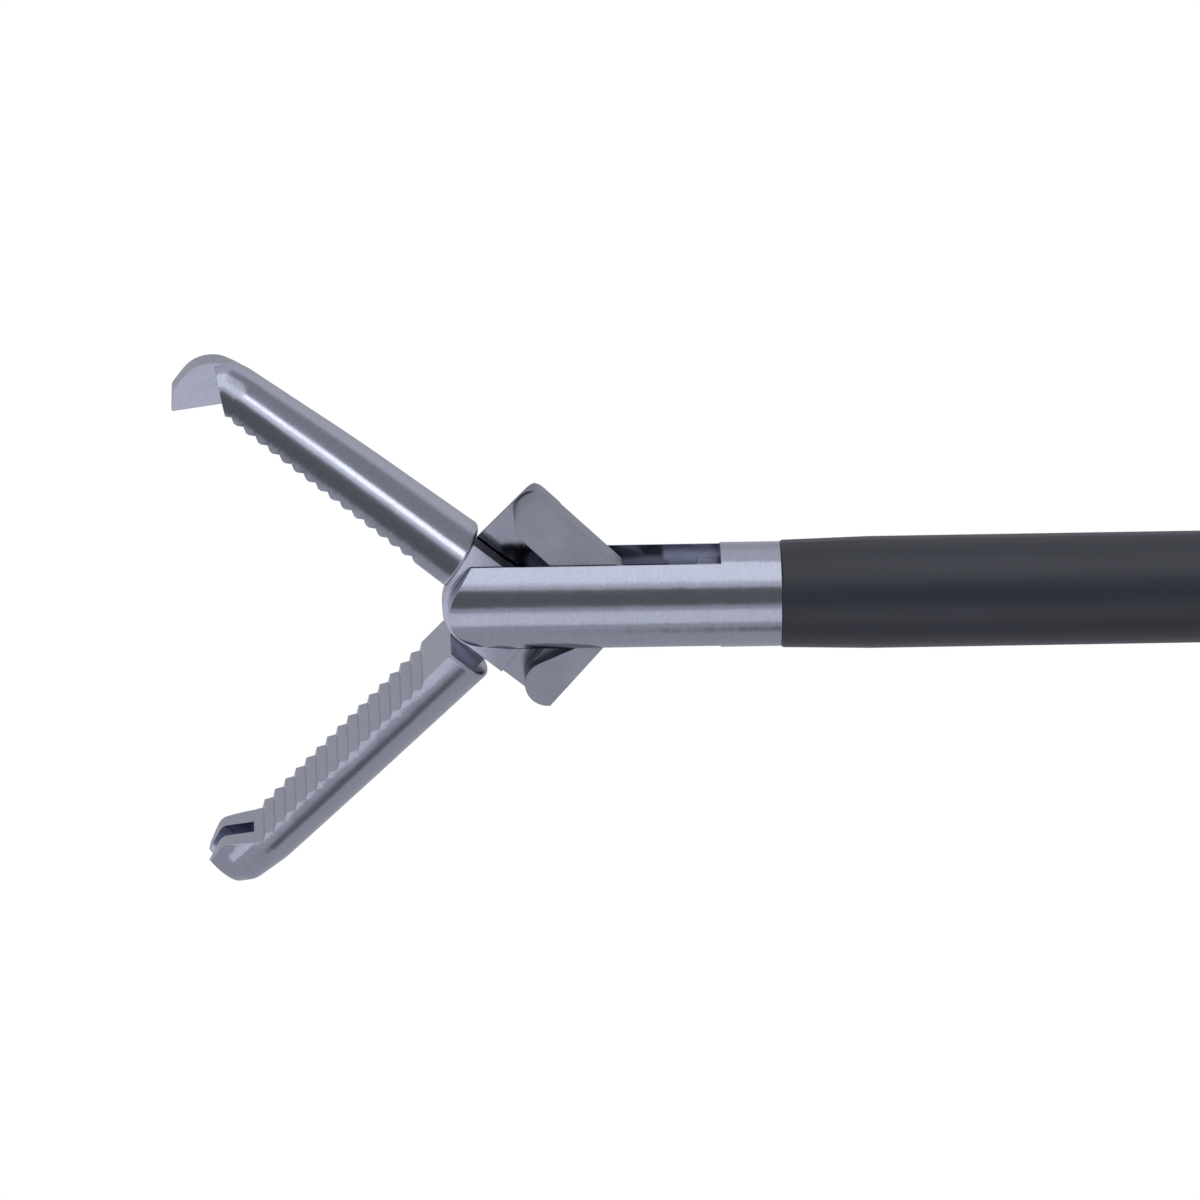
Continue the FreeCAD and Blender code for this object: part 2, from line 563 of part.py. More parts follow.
def make_upper_jaw():
    """Jaw with the single hook: its hub plate is near, and its tail steps over to the far side."""
    grooved = blade(
        "upper", 1, "sizes.upper_groove",
        ("-sizes.blade_end", "sizes.end_radius", "sizes.tip_rounding"),
        ("-sizes.tip_shoulder", "sizes.shoulder_radius", "sizes.shoulder_rounding"),
        ("-sizes.tip_bend", "sizes.bend_radius", "sizes.bend_rounding"),
        ("-sizes.tip_bend", 0),
    )[1]
    below, above = 0.4, 1.8
    flank = (
        (f"{below} * sizes.flank_run - sizes.flank_start", f"-{below} * sizes.flank_rise"),
        (f"-{above} * sizes.flank_run - sizes.flank_start", f"{above} * sizes.flank_rise"),
        (-BEYOND, f"{above} * sizes.flank_rise"),
        (-BEYOND, f"-{below} * sizes.flank_rise"),
    )
    near = plate("near_flank", flank, -BEYOND, "-sizes.tooth_half")
    far = plate("far_flank", flank, "sizes.tooth_half", BEYOND)
    half = cut("upper_flanked", grooved, near, far)
    root = "(sizes.tooth_root - sizes.flank_start)"
    hook = plate("hook", (
        (root, "sizes.face_gap"),
        (root, "sizes.end_radius - sizes.tooth_half"),
        ("-sizes.blade_end", "sizes.end_radius - sizes.tooth_inset", "sizes.tip_rounding"),
        ("-sizes.hook_top", "sizes.hook_top_height", "sizes.hook_rounding"),
        ("-sizes.tip_length", "sizes.hook_front_height", "sizes.hook_rounding"),
        ("-sizes.hook_chin", "-sizes.hook_chin_depth", "sizes.chin_rounding"),
        ("-sizes.tooth_point", "-sizes.tooth_depth", "sizes.point_rounding"),
        ("-sizes.tooth_heel", "sizes.face_gap"),
    ), "-sizes.tooth_half", "sizes.tooth_half")
    hub = along_y("near_hub", "sizes.near_hub_radius", "-sizes.plate_side", "-sizes.side_gap")
    neck = box(
        "near_neck", "-sizes.neck_length", 0, "-sizes.plate_side", "-sizes.side_gap",
        "sizes.face_gap", "sizes.neck_height",
    )
    step = box(
        "near_step", 0, "sizes.step_reach", "-sizes.plate_side", "-sizes.side_gap",
        "-sizes.neck_height", "-sizes.tail_part",
    )
    web_z, web_x = "(-sizes.tail_envelope)", "(sizes.tail_envelope / tan(sizes.web_angle))"
    web = plate("web", (
        (0, "-sizes.tail_part"),
        ("sizes.step_reach", "-sizes.tail_part"),
        ("sizes.step_reach", web_z),
        (web_x, web_z),
    ), "-2 * sizes.side_gap", "2 * sizes.tail_side")
    tail = plate("upper_tail", tail_outline(-1, web_x), "sizes.tail_side", "sizes.plate_side")
    hub_room = "sizes.far_hub_radius + sizes.hub_clearance"
    clear = along_y("lower_hub_room", hub_room, "-sizes.side_gap", BEYOND)
    envelope = along_x("upper_envelope", "sizes.tail_envelope", -BEYOND, BEYOND)
    stepped = cut("upper_tail_clear", fuse("upper_far", web, tail), clear)
    far_side = common("upper_tail_round", stepped, envelope)
    solid = fuse("upper_solid", half, hook, hub, neck, step, far_side)
    jaw = cut("upper_jaw", solid, *pin_holes("upper", -1))
    return part(at_pivot(jaw, "sizes.upper_open"), "upper_jaw")


def make_lower_jaw():
    """Jaw with two prongs: its hub plate and its tail are both on the far side."""
    blank, grooved = blade(
        "lower", -1, "sizes.lower_groove",
        ("-sizes.blade_end", "sizes.lower_end_radius", "sizes.tip_rounding"),
        ("-sizes.lower_shoulder", "sizes.lower_shoulder_radius", "sizes.shoulder_rounding"),
        ("-sizes.lower_bend", "sizes.lower_bend_radius", "sizes.bend_rounding"),
        ("-sizes.lower_length", "sizes.lower_flat", "sizes.bend_rounding"),
        ("-sizes.lower_length", 0),
    )
    slope = "(sizes.prong_height * sizes.flank_run / sizes.flank_rise)"
    prong_start = "(sizes.flank_start + sizes.prong_gap)"
    prongs = common("prongs", blank, plate("prong_outline", (
        (f"-{prong_start}", "-0.5 * sizes.end_radius"),
        (f"-{prong_start}", 0),
        (f"-({prong_start} + {slope})", "sizes.prong_height", "sizes.prong_rounding"),
        ("-sizes.lower_length", "sizes.prong_end_height", "sizes.prong_end_rounding"),
        ("-1.1 * sizes.lower_length", 0),
        ("-1.1 * sizes.lower_length", "-0.5 * sizes.end_radius"),
    ), -BEYOND, BEYOND))
    gap = "(sizes.tooth_half + sizes.tooth_play)"
    heel = "(sizes.heel_play - sizes.tooth_heel)"
    room = plate("hook_room", (
        (heel, BEYOND),
        (heel, 0),
        (f"{heel} - 2 * (sizes.tooth_point - sizes.tooth_heel)", "-2 * sizes.tooth_depth"),
        (-BEYOND, "-2 * sizes.tooth_depth"),
        (-BEYOND, BEYOND),
    ), f"-{gap}", gap)
    half = cut("lower_forked", fuse("lower_pronged", grooved, prongs), room)
    hub = along_y("far_hub", "sizes.far_hub_radius", "sizes.side_gap", "sizes.plate_side")
    neck = plate("far_neck", (
        (0, 0),
        ("-sizes.neck_height / tan(sizes.neck_angle)", "-sizes.neck_height"),
        ("-sizes.neck_length", "-sizes.neck_height"),
        ("-sizes.neck_length", "-sizes.face_gap"),
    ), "sizes.side_gap", "sizes.plate_side")
    tail = plate("lower_tail", tail_outline(1, "sizes.tail_start"), "sizes.tail_side", "sizes.plate_side")
    envelope = along_x("lower_envelope", "sizes.tail_envelope", -BEYOND, BEYOND)
    far_side = common("lower_tail_round", tail, envelope)
    jaw = cut("lower_jaw", fuse("lower_solid", half, hub, neck, far_side), *pin_holes("lower", 1))
    return part(at_pivot(jaw, "-sizes.lower_open"), "lower_jaw")


def tail_place(side, opened):
    """Place of a tail pin with its jaw open."""
    turn = f"(sizes.tail_angle + {opened})"
    return f"({PIVOT} + sizes.tail_reach * cos{turn})", f"({side} * sizes.tail_reach * sin{turn})"


def make_tail_pin(label, side, opened):
    """Pin that is fixed in a tail and carries a link, blind on the near side."""
    x, z = tail_place(side, opened)
    ends = ("-sizes.tail_pin_depth", "sizes.plate_side - 2 * sizes.side_gap")
    return part(along_y(label, "sizes.tail_pin_radius", *ends, x, z), label)


def make_link(label, side, opened):
    """Toggle link; side is 1 for the link above the axis, whose lap is near."""
    x, z = tail_place(side, opened)
    across, up = f"({DRIVE} - {x})", f"(sizes.drive_z - {z})"
    length = f"(sqrt({across} ^ 2 + {up} ^ 2) + sizes.{label}_extra)"
    angle = f"{side} deg * sizes.{label}_lead - atan2({up}; {across})"
    lap = ("-sizes.plate_side", "-sizes.lap_plane - sizes.side_gap")
    rest = ("-sizes.lap_plane - 2 * sizes.side_gap", "sizes.link_side")
    if side < 0:
        lap = ("-sizes.lap_plane + sizes.side_gap", "sizes.link_side")
        rest = ("-sizes.plate_side", "-sizes.lap_plane + 2 * sizes.side_gap")
    bar = stadium(label + "_lap", 0, 0, length, 0, "sizes.link_half", *lap)
    eye = along_y(label + "_eye", "sizes.link_half", "-sizes.plate_side", "sizes.link_side")
    wedge = plate(label + "_wedge", (
        (0, f"{side} * sizes.link_half"),
        ("sizes.wedge_length", f"{side} * sizes.link_half"),
        ("sizes.wedge_length", f"{side} * (sizes.link_half - sizes.wedge_tip)"),
        ("sizes.link_half * cos(sizes.wedge_angle)", f"-{side} * sizes.link_half * sin(sizes.wedge_angle)"),
    ), *rest)
    tail_hole = along_y(
        label + "_tail_hole", "sizes.tail_pin_radius + sizes.hinge_gap",
        "-sizes.tail_pin_depth - 2 * sizes.side_gap", BEYOND,
    )
    drive_hole = along_y(
        label + "_drive_hole", "sizes.drive_radius + sizes.drive_play",
        -BEYOND, BEYOND, length,
    )
    tools = [tail_hole, drive_hole]
    if side < 0:
        trim_end = f"sizes.trim_share * {length}"
        tools.append(box(label + "_trim", -BEYOND, trim_end, -BEYOND, BEYOND, -BEYOND, "-sizes.link_trim"))
    link = cut(label, fuse(label + "_solid", bar, eye, wedge), *tools)
    return part(place(link, x, 0, z, (0, 1, 0), angle), label)


def make_clevis():
    """Round body with two cheeks, a slot, a pocket and a spigot for the tube."""
    bar = along_x("clevis_bar", "sizes.steel_radius", "-2 * sizes.nose_radius", "sizes.clevis_length")
    spigot = along_x(
        "spigot", "sizes.tube_bore - sizes.fixed_gap",
        f"sizes.clevis_length - {LAP}", "sizes.clevis_length + sizes.spigot_length",
    )
    nose = along_y("nose", "sizes.nose_radius", -BEYOND, BEYOND)
    front, high = "sizes.nose_radius * cos(sizes.nose_slope)", "sizes.nose_radius * sin(sizes.nose_slope)"
    outline = plate("cheek_outline", (
        (f"-{front}", high),
        (
            f"sizes.nose_rise * tan(sizes.nose_slope) - {front}",
            f"{high} + sizes.nose_rise",
            "sizes.nose_rounding",
        ),
        ("sizes.nose_back", BEYOND),
        (BEYOND, BEYOND),
        (BEYOND, -BEYOND),
        ("sizes.nose_low_end", -BEYOND),
        ("sizes.nose_low_x", "-sizes.nose_low_depth", "sizes.nose_low_rounding"),
        ("-sizes.nose_radius * cos(sizes.nose_low)", "-sizes.nose_radius * sin(sizes.nose_low)"),
        (0, 0),
    ), -BEYOND, BEYOND)
    body = common("cheeks", fuse("clevis_solid", bar, spigot), fuse("nose_outline", nose, outline))
    slot = box("slot", -BEYOND, "sizes.slot_depth", "-sizes.slot_half", "sizes.slot_half", -BEYOND, BEYOND)
    pocket_end = "sizes.slot_depth + sizes.pocket_depth"
    pocket = along_x("pocket", "sizes.pocket_radius", f"sizes.slot_depth - {LAP}", pocket_end)
    bore = along_x("clevis_bore", "sizes.bore_radius", "sizes.slot_depth", BEYOND)
    pivot = along_y("cheek_hole", "sizes.pivot_radius + sizes.fixed_gap", "-sizes.pivot_depth", BEYOND)
    return part(at_pivot(cut("clevis", body, slot, pocket, bore, pivot)), "clevis")


def make_pivot_pin():
    """Jaw pivot pin, blind in the near cheek and ground flush with the far one."""
    pin = along_y("pivot_bar", "sizes.pivot_radius", "sizes.fixed_gap - sizes.pivot_depth", BEYOND)
    flush = along_x("pivot_flush", "sizes.steel_radius", -BEYOND, BEYOND)
    return part(at_pivot(common("jaw_pivot_pin", pin, flush)), "jaw_pivot_pin")


def make_rod():
    """Rod head with its tongue, drive pin, pull rod, ball and lock nut."""
    tongue = plate("tongue", (
        ("-sizes.tongue_half", "sizes.drive_z + sizes.tongue_half", "0.9 * sizes.tongue_half"),
        ("sizes.head_start + sizes.tongue_root", "sizes.drive_z + sizes.tongue_half"),
        ("sizes.head_start + sizes.tongue_root", "sizes.drive_z - sizes.tongue_half"),
        ("-sizes.tongue_half", "sizes.drive_z - sizes.tongue_half", "0.9 * sizes.tongue_half"),
    ), "sizes.tail_side", "sizes.head_radius")
    head = along_x("head_bar", "sizes.head_radius", "sizes.head_start", "sizes.head_length")
    hole = along_y("drive_pin_hole", "sizes.drive_radius + sizes.fixed_gap", 0, BEYOND, 0, "sizes.drive_z")
    socket = along_x("rod_socket", "sizes.rod_radius + sizes.fixed_gap", "sizes.rod_insert", BEYOND)
    part(place(cut("rod_head", fuse("head_solid", tongue, head), hole, socket), DRIVE), "rod_head")
    ends = ("-sizes.drive_pin_half", "sizes.drive_pin_half")
    part(along_y("drive_pin", "sizes.drive_radius", *ends, DRIVE, "sizes.drive_z"), "drive_pin")
    rod_start = f"({DRIVE} + sizes.rod_insert + sizes.fixed_gap)"
    rod_end = f"({BALL} + sizes.rod_in_ball)"
    part(along_x("pull_rod", "sizes.rod_radius", rod_start, rod_end), "pull_rod")
    sphere = doc.addObject("Part::Sphere", "ball")
    sphere.setExpression("Radius", "sizes.ball_radius")
    place(sphere, BALL)
    neck = along_x("ball_neck", "sizes.neck_radius", f"{BALL} - sizes.neck_reach", BALL)
    through = along_x("ball_bore", "sizes.rod_radius + sizes.fixed_gap", 0, "2 * sizes.lever_x")
    part(cut("rod_ball", fuse("ball_solid", sphere, neck), through), "rod_ball")
    nut_end = f"({BALL} - sizes.neck_reach - sizes.fixed_gap)"
    nut = hexagon("nut_blank", "sizes.nut_flat / sqrt(3)", "sizes.nut_length")
    place(nut, f"{nut_end} - sizes.nut_length", 0, 0, (0, 1, 0), 90)
    nut_bore = along_x("nut_bore", "sizes.rod_radius + sizes.fixed_gap", 0, "2 * sizes.lever_x")
    part(cut("ball_lock_nut", nut, nut_bore), "ball_lock_nut")


def make_shaft():
    """Shaft tube, its insulating sleeve and the seal at its rear end."""
    outer = along_x("tube_outer", "sizes.tube_radius", SHOULDER, "sizes.tube_tail")
    inner = along_x("tube_inner", "sizes.tube_bore", f"{SHOULDER} - {LAP}", f"sizes.tube_tail + {LAP}")
    part(cut("shaft_tube", outer, inner), "shaft_tube")
    inside = "(sizes.tube_radius + sizes.fixed_gap)"
    part(turned("insulation_sleeve", (
        (SHOULDER, inside),
        (SHOULDER, "sizes.sleeve_end_radius - sizes.sleeve_edge"),
        (f"{SHOULDER} + sizes.sleeve_edge", "sizes.sleeve_end_radius"),
        (f"{SHOULDER} + sizes.sleeve_taper", "sizes.sleeve_radius"),
        (0, "sizes.sleeve_radius"),
        (0, "sizes.sleeve_spigot"),
        ("sizes.sleeve_pocket - sizes.pocket_play", "sizes.sleeve_spigot"),
        ("sizes.sleeve_pocket - sizes.pocket_play", inside),
    )), "insulation_sleeve")
    seal_start = "(sizes.tube_tail - sizes.seal_length)"
    seal = along_x("seal_outer", "sizes.tube_bore - sizes.fixed_gap", seal_start, "sizes.tube_tail")
    seal_bore = along_x("seal_bore", "sizes.rod_radius + sizes.hinge_gap", 0, "2 * sizes.tube_tail")
    part(cut("rod_seal", seal, seal_bore), "rod_seal")


def make_wheel():
    """Fluted rotation wheel, the bush that it drives and the grub screw between them."""
    bore = "(sizes.bush_radius + sizes.fixed_gap)"
    pocket = "(sizes.sleeve_spigot + sizes.pocket_play)"
    blank = turned("wheel_blank", (
        (0, pocket),
        (0, "sizes.wheel_nose_radius", "sizes.wheel_nose_rounding"),
        ("sizes.wheel_nose", "sizes.wheel_radius", "sizes.wheel_cone_rounding"),
        ("sizes.wheel_length", "sizes.wheel_radius", "sizes.wheel_rear_rounding"),
        ("sizes.wheel_length", bore),
        ("sizes.sleeve_pocket", bore),
        ("sizes.sleeve_pocket", pocket),
    ))
    flutes = []
    for i in range(int(value("sizes.flute_count"))):
        around = f"(({i} + 0.5) * 360 / sizes.flute_count)"
        y, z = f"sizes.flute_offset * sin{around}", f"sizes.flute_offset * cos{around}"
        ends = (-LAP, f"sizes.wheel_length + {LAP}")
        flutes.append(along_x(f"flute_{i + 1}", "sizes.flute_radius", *ends, y, z))
    grub_room = along_z("grub_room", "sizes.grub_radius + sizes.fixed_gap", 0, BEYOND, "sizes.grub_x")
    part(cut("rotation_wheel", blank, *flutes, grub_room), "rotation_wheel")
    part(turned("wheel_bush", (
        ("sizes.sleeve_pocket + sizes.fixed_gap", "sizes.tube_radius + sizes.fixed_gap"),
        ("sizes.sleeve_pocket + sizes.fixed_gap", "sizes.bush_radius"),
        ("sizes.flange_start", "sizes.bush_radius"),
        ("sizes.flange_start", "sizes.flange_radius", "sizes.bush_rounding"),
        ("sizes.flange_start + sizes.flange_width", "sizes.flange_radius", "sizes.bush_rounding"),
        ("sizes.flange_start + sizes.flange_width", "sizes.bush_radius"),
        ("sizes.bush_end", "sizes.bush_radius", "sizes.bush_rounding"),
        ("sizes.bush_end", "sizes.tube_radius + sizes.fixed_gap"),
    )), "wheel_bush")
    top = "(sizes.wheel_radius - sizes.grub_recess)"
    foot = "sizes.bush_radius + sizes.fixed_gap"
    screw = along_z("grub_blank", "sizes.grub_radius", foot, top, "sizes.grub_x")
    socket = hexagon("grub_socket", "sizes.socket_radius", "2 * sizes.socket_depth")
    place(socket, "sizes.grub_x", 0, f"{top} - sizes.socket_depth")
    part(cut("wheel_grub_screw", screw, socket), "wheel_grub_screw")


def in_lever(u, v):
    """Place of a point of the lever's own frame, with the lever open."""
    x = f"(sizes.lever_x + ({u}) * cos(sizes.lever_swing) - ({v}) * sin(sizes.lever_swing))"
    z = f"(sizes.lever_z + ({u}) * sin(sizes.lever_swing) + ({v}) * cos(sizes.lever_swing))"
    return x, z


def stop_place():
    """Place of the stop pin, in front of the open lever's arm."""
    return in_lever("-sizes.insert_arm - sizes.stop_radius - sizes.stop_gap", "sizes.stop_height")


SCREW_PLACES = (
    ("sizes.front_screw", "sizes.handle_top - sizes.screw_inset"),
    ("sizes.front_screw", "sizes.screw_inset - sizes.handle_top"),
    ("sizes.rear_screw", "sizes.handle_top - sizes.screw_inset"),
    ("sizes.low_screw_x", "sizes.low_screw_z"),
)


def shell_half():
    """Outer form of the near handle half, before its cavities."""
    housing = plate("housing", (
        ("sizes.handle_front", "sizes.handle_top", "sizes.front_rounding"),
        ("sizes.handle_rear - sizes.rear_lean", "sizes.handle_top", "sizes.rear_rounding"),
        ("sizes.handle_rear", "sizes.lever_z - sizes.rear_drop", "sizes.rear_low_rounding"),
        (
            "sizes.cavity_start + sizes.throat_back",
            "sizes.lever_z - sizes.throat_drop",
            "sizes.throat_rounding",
        ),
        (
            "sizes.ring_top_x + sizes.neck_rear_x",
            "sizes.ring_top_z + sizes.neck_rear_z",
            "sizes.neck_rear_rounding",
        ),
        (
            "sizes.ring_top_x - sizes.neck_front_x",
            "sizes.ring_top_z + sizes.neck_front_z",
            "sizes.neck_front_rounding",
        ),
        (
            "sizes.ring_top_x - sizes.neck_top_x",
            "-sizes.handle_top - sizes.neck_top_drop",
            "sizes.neck_top_rounding",
        ),
        ("sizes.handle_front", "-sizes.handle_top", "sizes.front_low_rounding"),
    ), "-sizes.handle_half", 0)
    near_side = in_plane("Y", "-sizes.handle_half")
    housing = rounded("housing_rounded", housing, "sizes.handle_rounding", near_side)
    centres = ("sizes.ring_top_x", "sizes.ring_top_z", "sizes.ring_low_x", "sizes.ring_low_z")
    outer = stadium("ring_outer", *centres, "sizes.ring_bore + sizes.ring_wall", "-sizes.ring_half", 0)
    inner = stadium("ring_inner", *centres, "sizes.ring_bore", "-2 * sizes.handle_half", "sizes.handle_half")
    outer.Refine = True
    inner.Refine = True
    ring = rounded("ring_rounded", outer, "sizes.ring_rounding", in_plane("Y", "-sizes.ring_half"))
    return cut("half_holed", fuse("half_solid", housing, ring), inner)


def shaft_cavity(name):
    """Room of the bearing bush, the shaft, the collar and the contact spring."""
    bearing_end = "(sizes.bearing_start + sizes.bearing_length)"
    base = "(sizes.collar_base - sizes.collar_play)"
    flange_top = "(sizes.collar_base + sizes.collar_flange_depth + sizes.collar_play)"
    flange_room = "sizes.collar_flange + sizes.collar_play"
    post_room, post_floor = "sizes.post_radius + sizes.post_room", "sizes.post_base - sizes.post_room_depth"
    return (
        along_x(name + "_front", "sizes.wall_bore", 0, f"sizes.chamber_start + {LAP}"),
        along_x(
            name + "_bearing", "sizes.bearing_radius + sizes.fixed_gap",
            "sizes.bearing_start - sizes.bearing_play", f"{bearing_end} + sizes.bearing_play",
        ),
        along_x(
            name + "_chamber", "sizes.chamber_radius",
            "sizes.chamber_start", f"sizes.cavity_start + {LAP}",
        ),
        along_z(name + "_post", post_room, post_floor, BEYOND, "sizes.post_x"),
        along_z(name + "_collar", "sizes.collar_radius + sizes.fixed_gap", base, BEYOND, "sizes.post_x"),
        along_z(name + "_flange", flange_room, base, flange_top, "sizes.post_x"),
    )


def lever_cavity(name):
    """Room of the lever, and the slot where it comes out."""
    side = "sizes.cavity_half"
    return (
        box(
            name + "_top", "sizes.cavity_start", "sizes.cavity_end",
            f"-{side}", side, "sizes.lever_z", "sizes.cavity_top",
        ),
        box(
            name + "_exit", "sizes.cavity_start", "2 * sizes.handle_rear",
            f"-{side}", side, "3 * sizes.lever_z", "sizes.exit_top",
        ),
    )


def cross_holes(name):
    """Holes of the lever pivot pin and the stop pin."""
    pivot, stop = "sizes.lever_pin_radius + sizes.fixed_gap", "sizes.stop_radius + sizes.fixed_gap"
    return (
        along_y(name + "_pivot", pivot, -BEYOND, BEYOND, "sizes.lever_x", "sizes.lever_z"),
        along_y(name + "_stop", stop, -BEYOND, BEYOND, *stop_place()),
    )


def make_shells():
    """Left and right handle shells, with the screws and threaded inserts that hold them."""
    half = shell_half()
    left_rooms, right_rooms, screws, nuts = [], [], [], []
    for i, (x, z) in enumerate(SCREW_PLACES, start=1):
        gap = "sizes.fixed_gap"
        left_rooms.append(along_y(f"shank_room_{i}", f"sizes.screw_radius + {gap}", -BEYOND, LAP, x, z))
        floor = "(-sizes.handle_half + sizes.head_depth)"
        top = "(-sizes.handle_half + sizes.head_recess)"
        left_rooms.append(along_y(f"head_room_{i}", f"sizes.screw_head + {gap}", -BEYOND, floor, x, z))
        depth = "sizes.screw_end + sizes.nut_start"
        right_rooms.append(along_y(f"nut_room_{i}", f"sizes.nut_radius + {gap}", -LAP, depth, x, z))
        shank = along_y(f"shank_{i}", "sizes.screw_radius", top, "sizes.screw_end", x, z)
        head = along_y(f"head_{i}", "sizes.screw_head", top, floor, x, z)
        socket = hexagon(f"socket_{i}", "sizes.screw_socket", "sizes.socket_depth")
        place(socket, x, top, z, (1, 0, 0), -90)
        screws.append(cut(f"screw_{i}", fuse(f"screw_solid_{i}", shank, head), socket))
        sleeve = along_y(f"nut_outer_{i}", "sizes.nut_radius", "sizes.nut_start", "sizes.screw_end", x, z)
        thread = along_y(f"nut_inner_{i}", f"sizes.screw_radius + {gap}", -LAP, BEYOND, x, z)
        nuts.append(cut(f"nut_{i}", sleeve, thread))
    halves = (("left", half, left_rooms), ("right", mirrored("half_mirrored", half), right_rooms))
    for side, blank, rooms in halves:
        cavities = (*shaft_cavity(side), *lever_cavity(side + "_lever"), *cross_holes(side))
        label = "handle_shell_" + side
        part(cut(label, blank, *cavities, *rooms), label)
    part(fuse("shell_screws", *screws), "shell_screws")
    part(fuse("screw_inserts", *nuts), "screw_inserts")


def make_bearing():
    """Bearing bush of the shaft in the handle."""
    end = "(sizes.bearing_start + sizes.bearing_length)"
    outer = along_x("bearing_outer", "sizes.bearing_radius", "sizes.bearing_start", end)
    inner = along_x("bearing_inner", "sizes.bush_radius + sizes.hinge_gap", 0, BEYOND)
    part(cut("bearing_bush", outer, inner), "bearing_bush")


def make_connector():
    """Connector post, its insulating collar and the spring that touches the tube."""
    top = "(sizes.handle_top + sizes.collar_rise + sizes.post_length)"
    collar_top = "(sizes.handle_top + sizes.collar_rise)"
    tip = along_z("post_tip", "sizes.post_radius", f"{collar_top} - {LAP}", top, "sizes.post_x")
    tip = rounded("post_rounded", tip, "sizes.post_rounding", in_plane("Z", top))
    root = along_z("post_root", "sizes.post_root_radius", "sizes.post_base", collar_top, "sizes.post_x")
    part(fuse("connector_post", tip, root), "connector_post")
    barrel = along_z("collar_bar", "sizes.collar_radius", "sizes.collar_base", collar_top, "sizes.post_x")
    barrel = rounded("collar_rounded", barrel, "sizes.collar_rounding", in_plane("Z", collar_top))
    flange_top = "sizes.collar_base + sizes.collar_flange_depth"
    flange = along_z("collar_ring", "sizes.collar_flange", "sizes.collar_base", flange_top, "sizes.post_x")
    room = along_z("collar_room", "sizes.post_root_radius + sizes.fixed_gap", 0, BEYOND, "sizes.post_x")
    part(cut("post_insulator", fuse("collar_solid", barrel, flange), room), "post_insulator")
    make_spring()


def make_spring():
    """Bent strip between the foot of the post and the tube."""
    low = "(sizes.tube_radius + sizes.spring_gap)"
    foot, knee = "sizes.spring_contact - sizes.spring_foot", "sizes.spring_contact + sizes.spring_knee"
    rear, lead = "sizes.post_x + sizes.post_radius", "sizes.post_x - sizes.post_radius - sizes.spring_lead"
    thickness = "sizes.spring_thickness"
    part(plate("contact_spring", (
        (rear, "sizes.post_base"),
        (lead, "sizes.post_base", "sizes.spring_lead_rounding"),
        (knee, f"{low} + {thickness}", "sizes.spring_knee_rounding"),
        (foot, f"{low} + {thickness}"),
        (foot, low),
        (f"{knee} + sizes.spring_shift", low, f"sizes.spring_knee_rounding + {thickness}"),
        (
            f"{lead} + sizes.spring_shift",
            f"sizes.post_base - {thickness}",
            f"sizes.spring_lead_rounding + {thickness}",
        ),
        (rear, f"sizes.post_base - {thickness}"),
    ), "-sizes.spring_half", "sizes.spring_half"), "contact_spring")


def make_pins():
    """Lever pivot pin and stop pin across both shells."""
    ends = ("sizes.pin_inset - sizes.handle_half", "sizes.handle_half - sizes.pin_inset")
    pin = along_y("lever_pivot_pin", "sizes.lever_pin_radius", *ends, "sizes.lever_x", "sizes.lever_z")
    part(pin, "lever_pivot_pin")
    part(along_y("stop_pin", "sizes.stop_radius", *ends, *stop_place()), "stop_pin")


def along_stem(distance):
    """Point on the lever's stem at a distance from the pivot, in the lever's own frame."""
    return f"({distance}) * sizes.thumb_u / {STEM_LENGTH}", f"({distance}) * sizes.thumb_v / {STEM_LENGTH}"


def lever_leg(name, reach, half, side):
    """Bar from the pivot along the stem, in the lever's own frame."""
    bar = box(name, 0, reach, f"-({side})", side, f"-({half})", half)
    bar.setExpression("Placement.Base.x", f"-({half}) * sin({STEM_ANGLE})")
    bar.setExpression("Placement.Base.z", f"-({half}) * cos({STEM_ANGLE})")
    bar.setExpression("Placement.Rotation.Angle", STEM_ANGLE)
    return bar


def open_lever(piece):
    """Move a piece of the lever from its own frame to its open place."""
    return place(piece, "sizes.lever_x", 0, "sizes.lever_z", (0, 1, 0), "-sizes.lever_swing")


def rivet_holes(name, radius):
    """Cylinders at the places of the rivets, in the lever's own frame."""
    holes = []
    for i in range(2):
        u, v = along_stem(f"sizes.insert_reach - sizes.rivet_end - {i} * sizes.rivet_pitch")
        ends = ("sizes.pin_inset - sizes.lever_half", "sizes.lever_half - sizes.pin_inset")
        holes.append(along_y(f"{name}_{i + 1}", radius, *ends, u, v))
    return holes


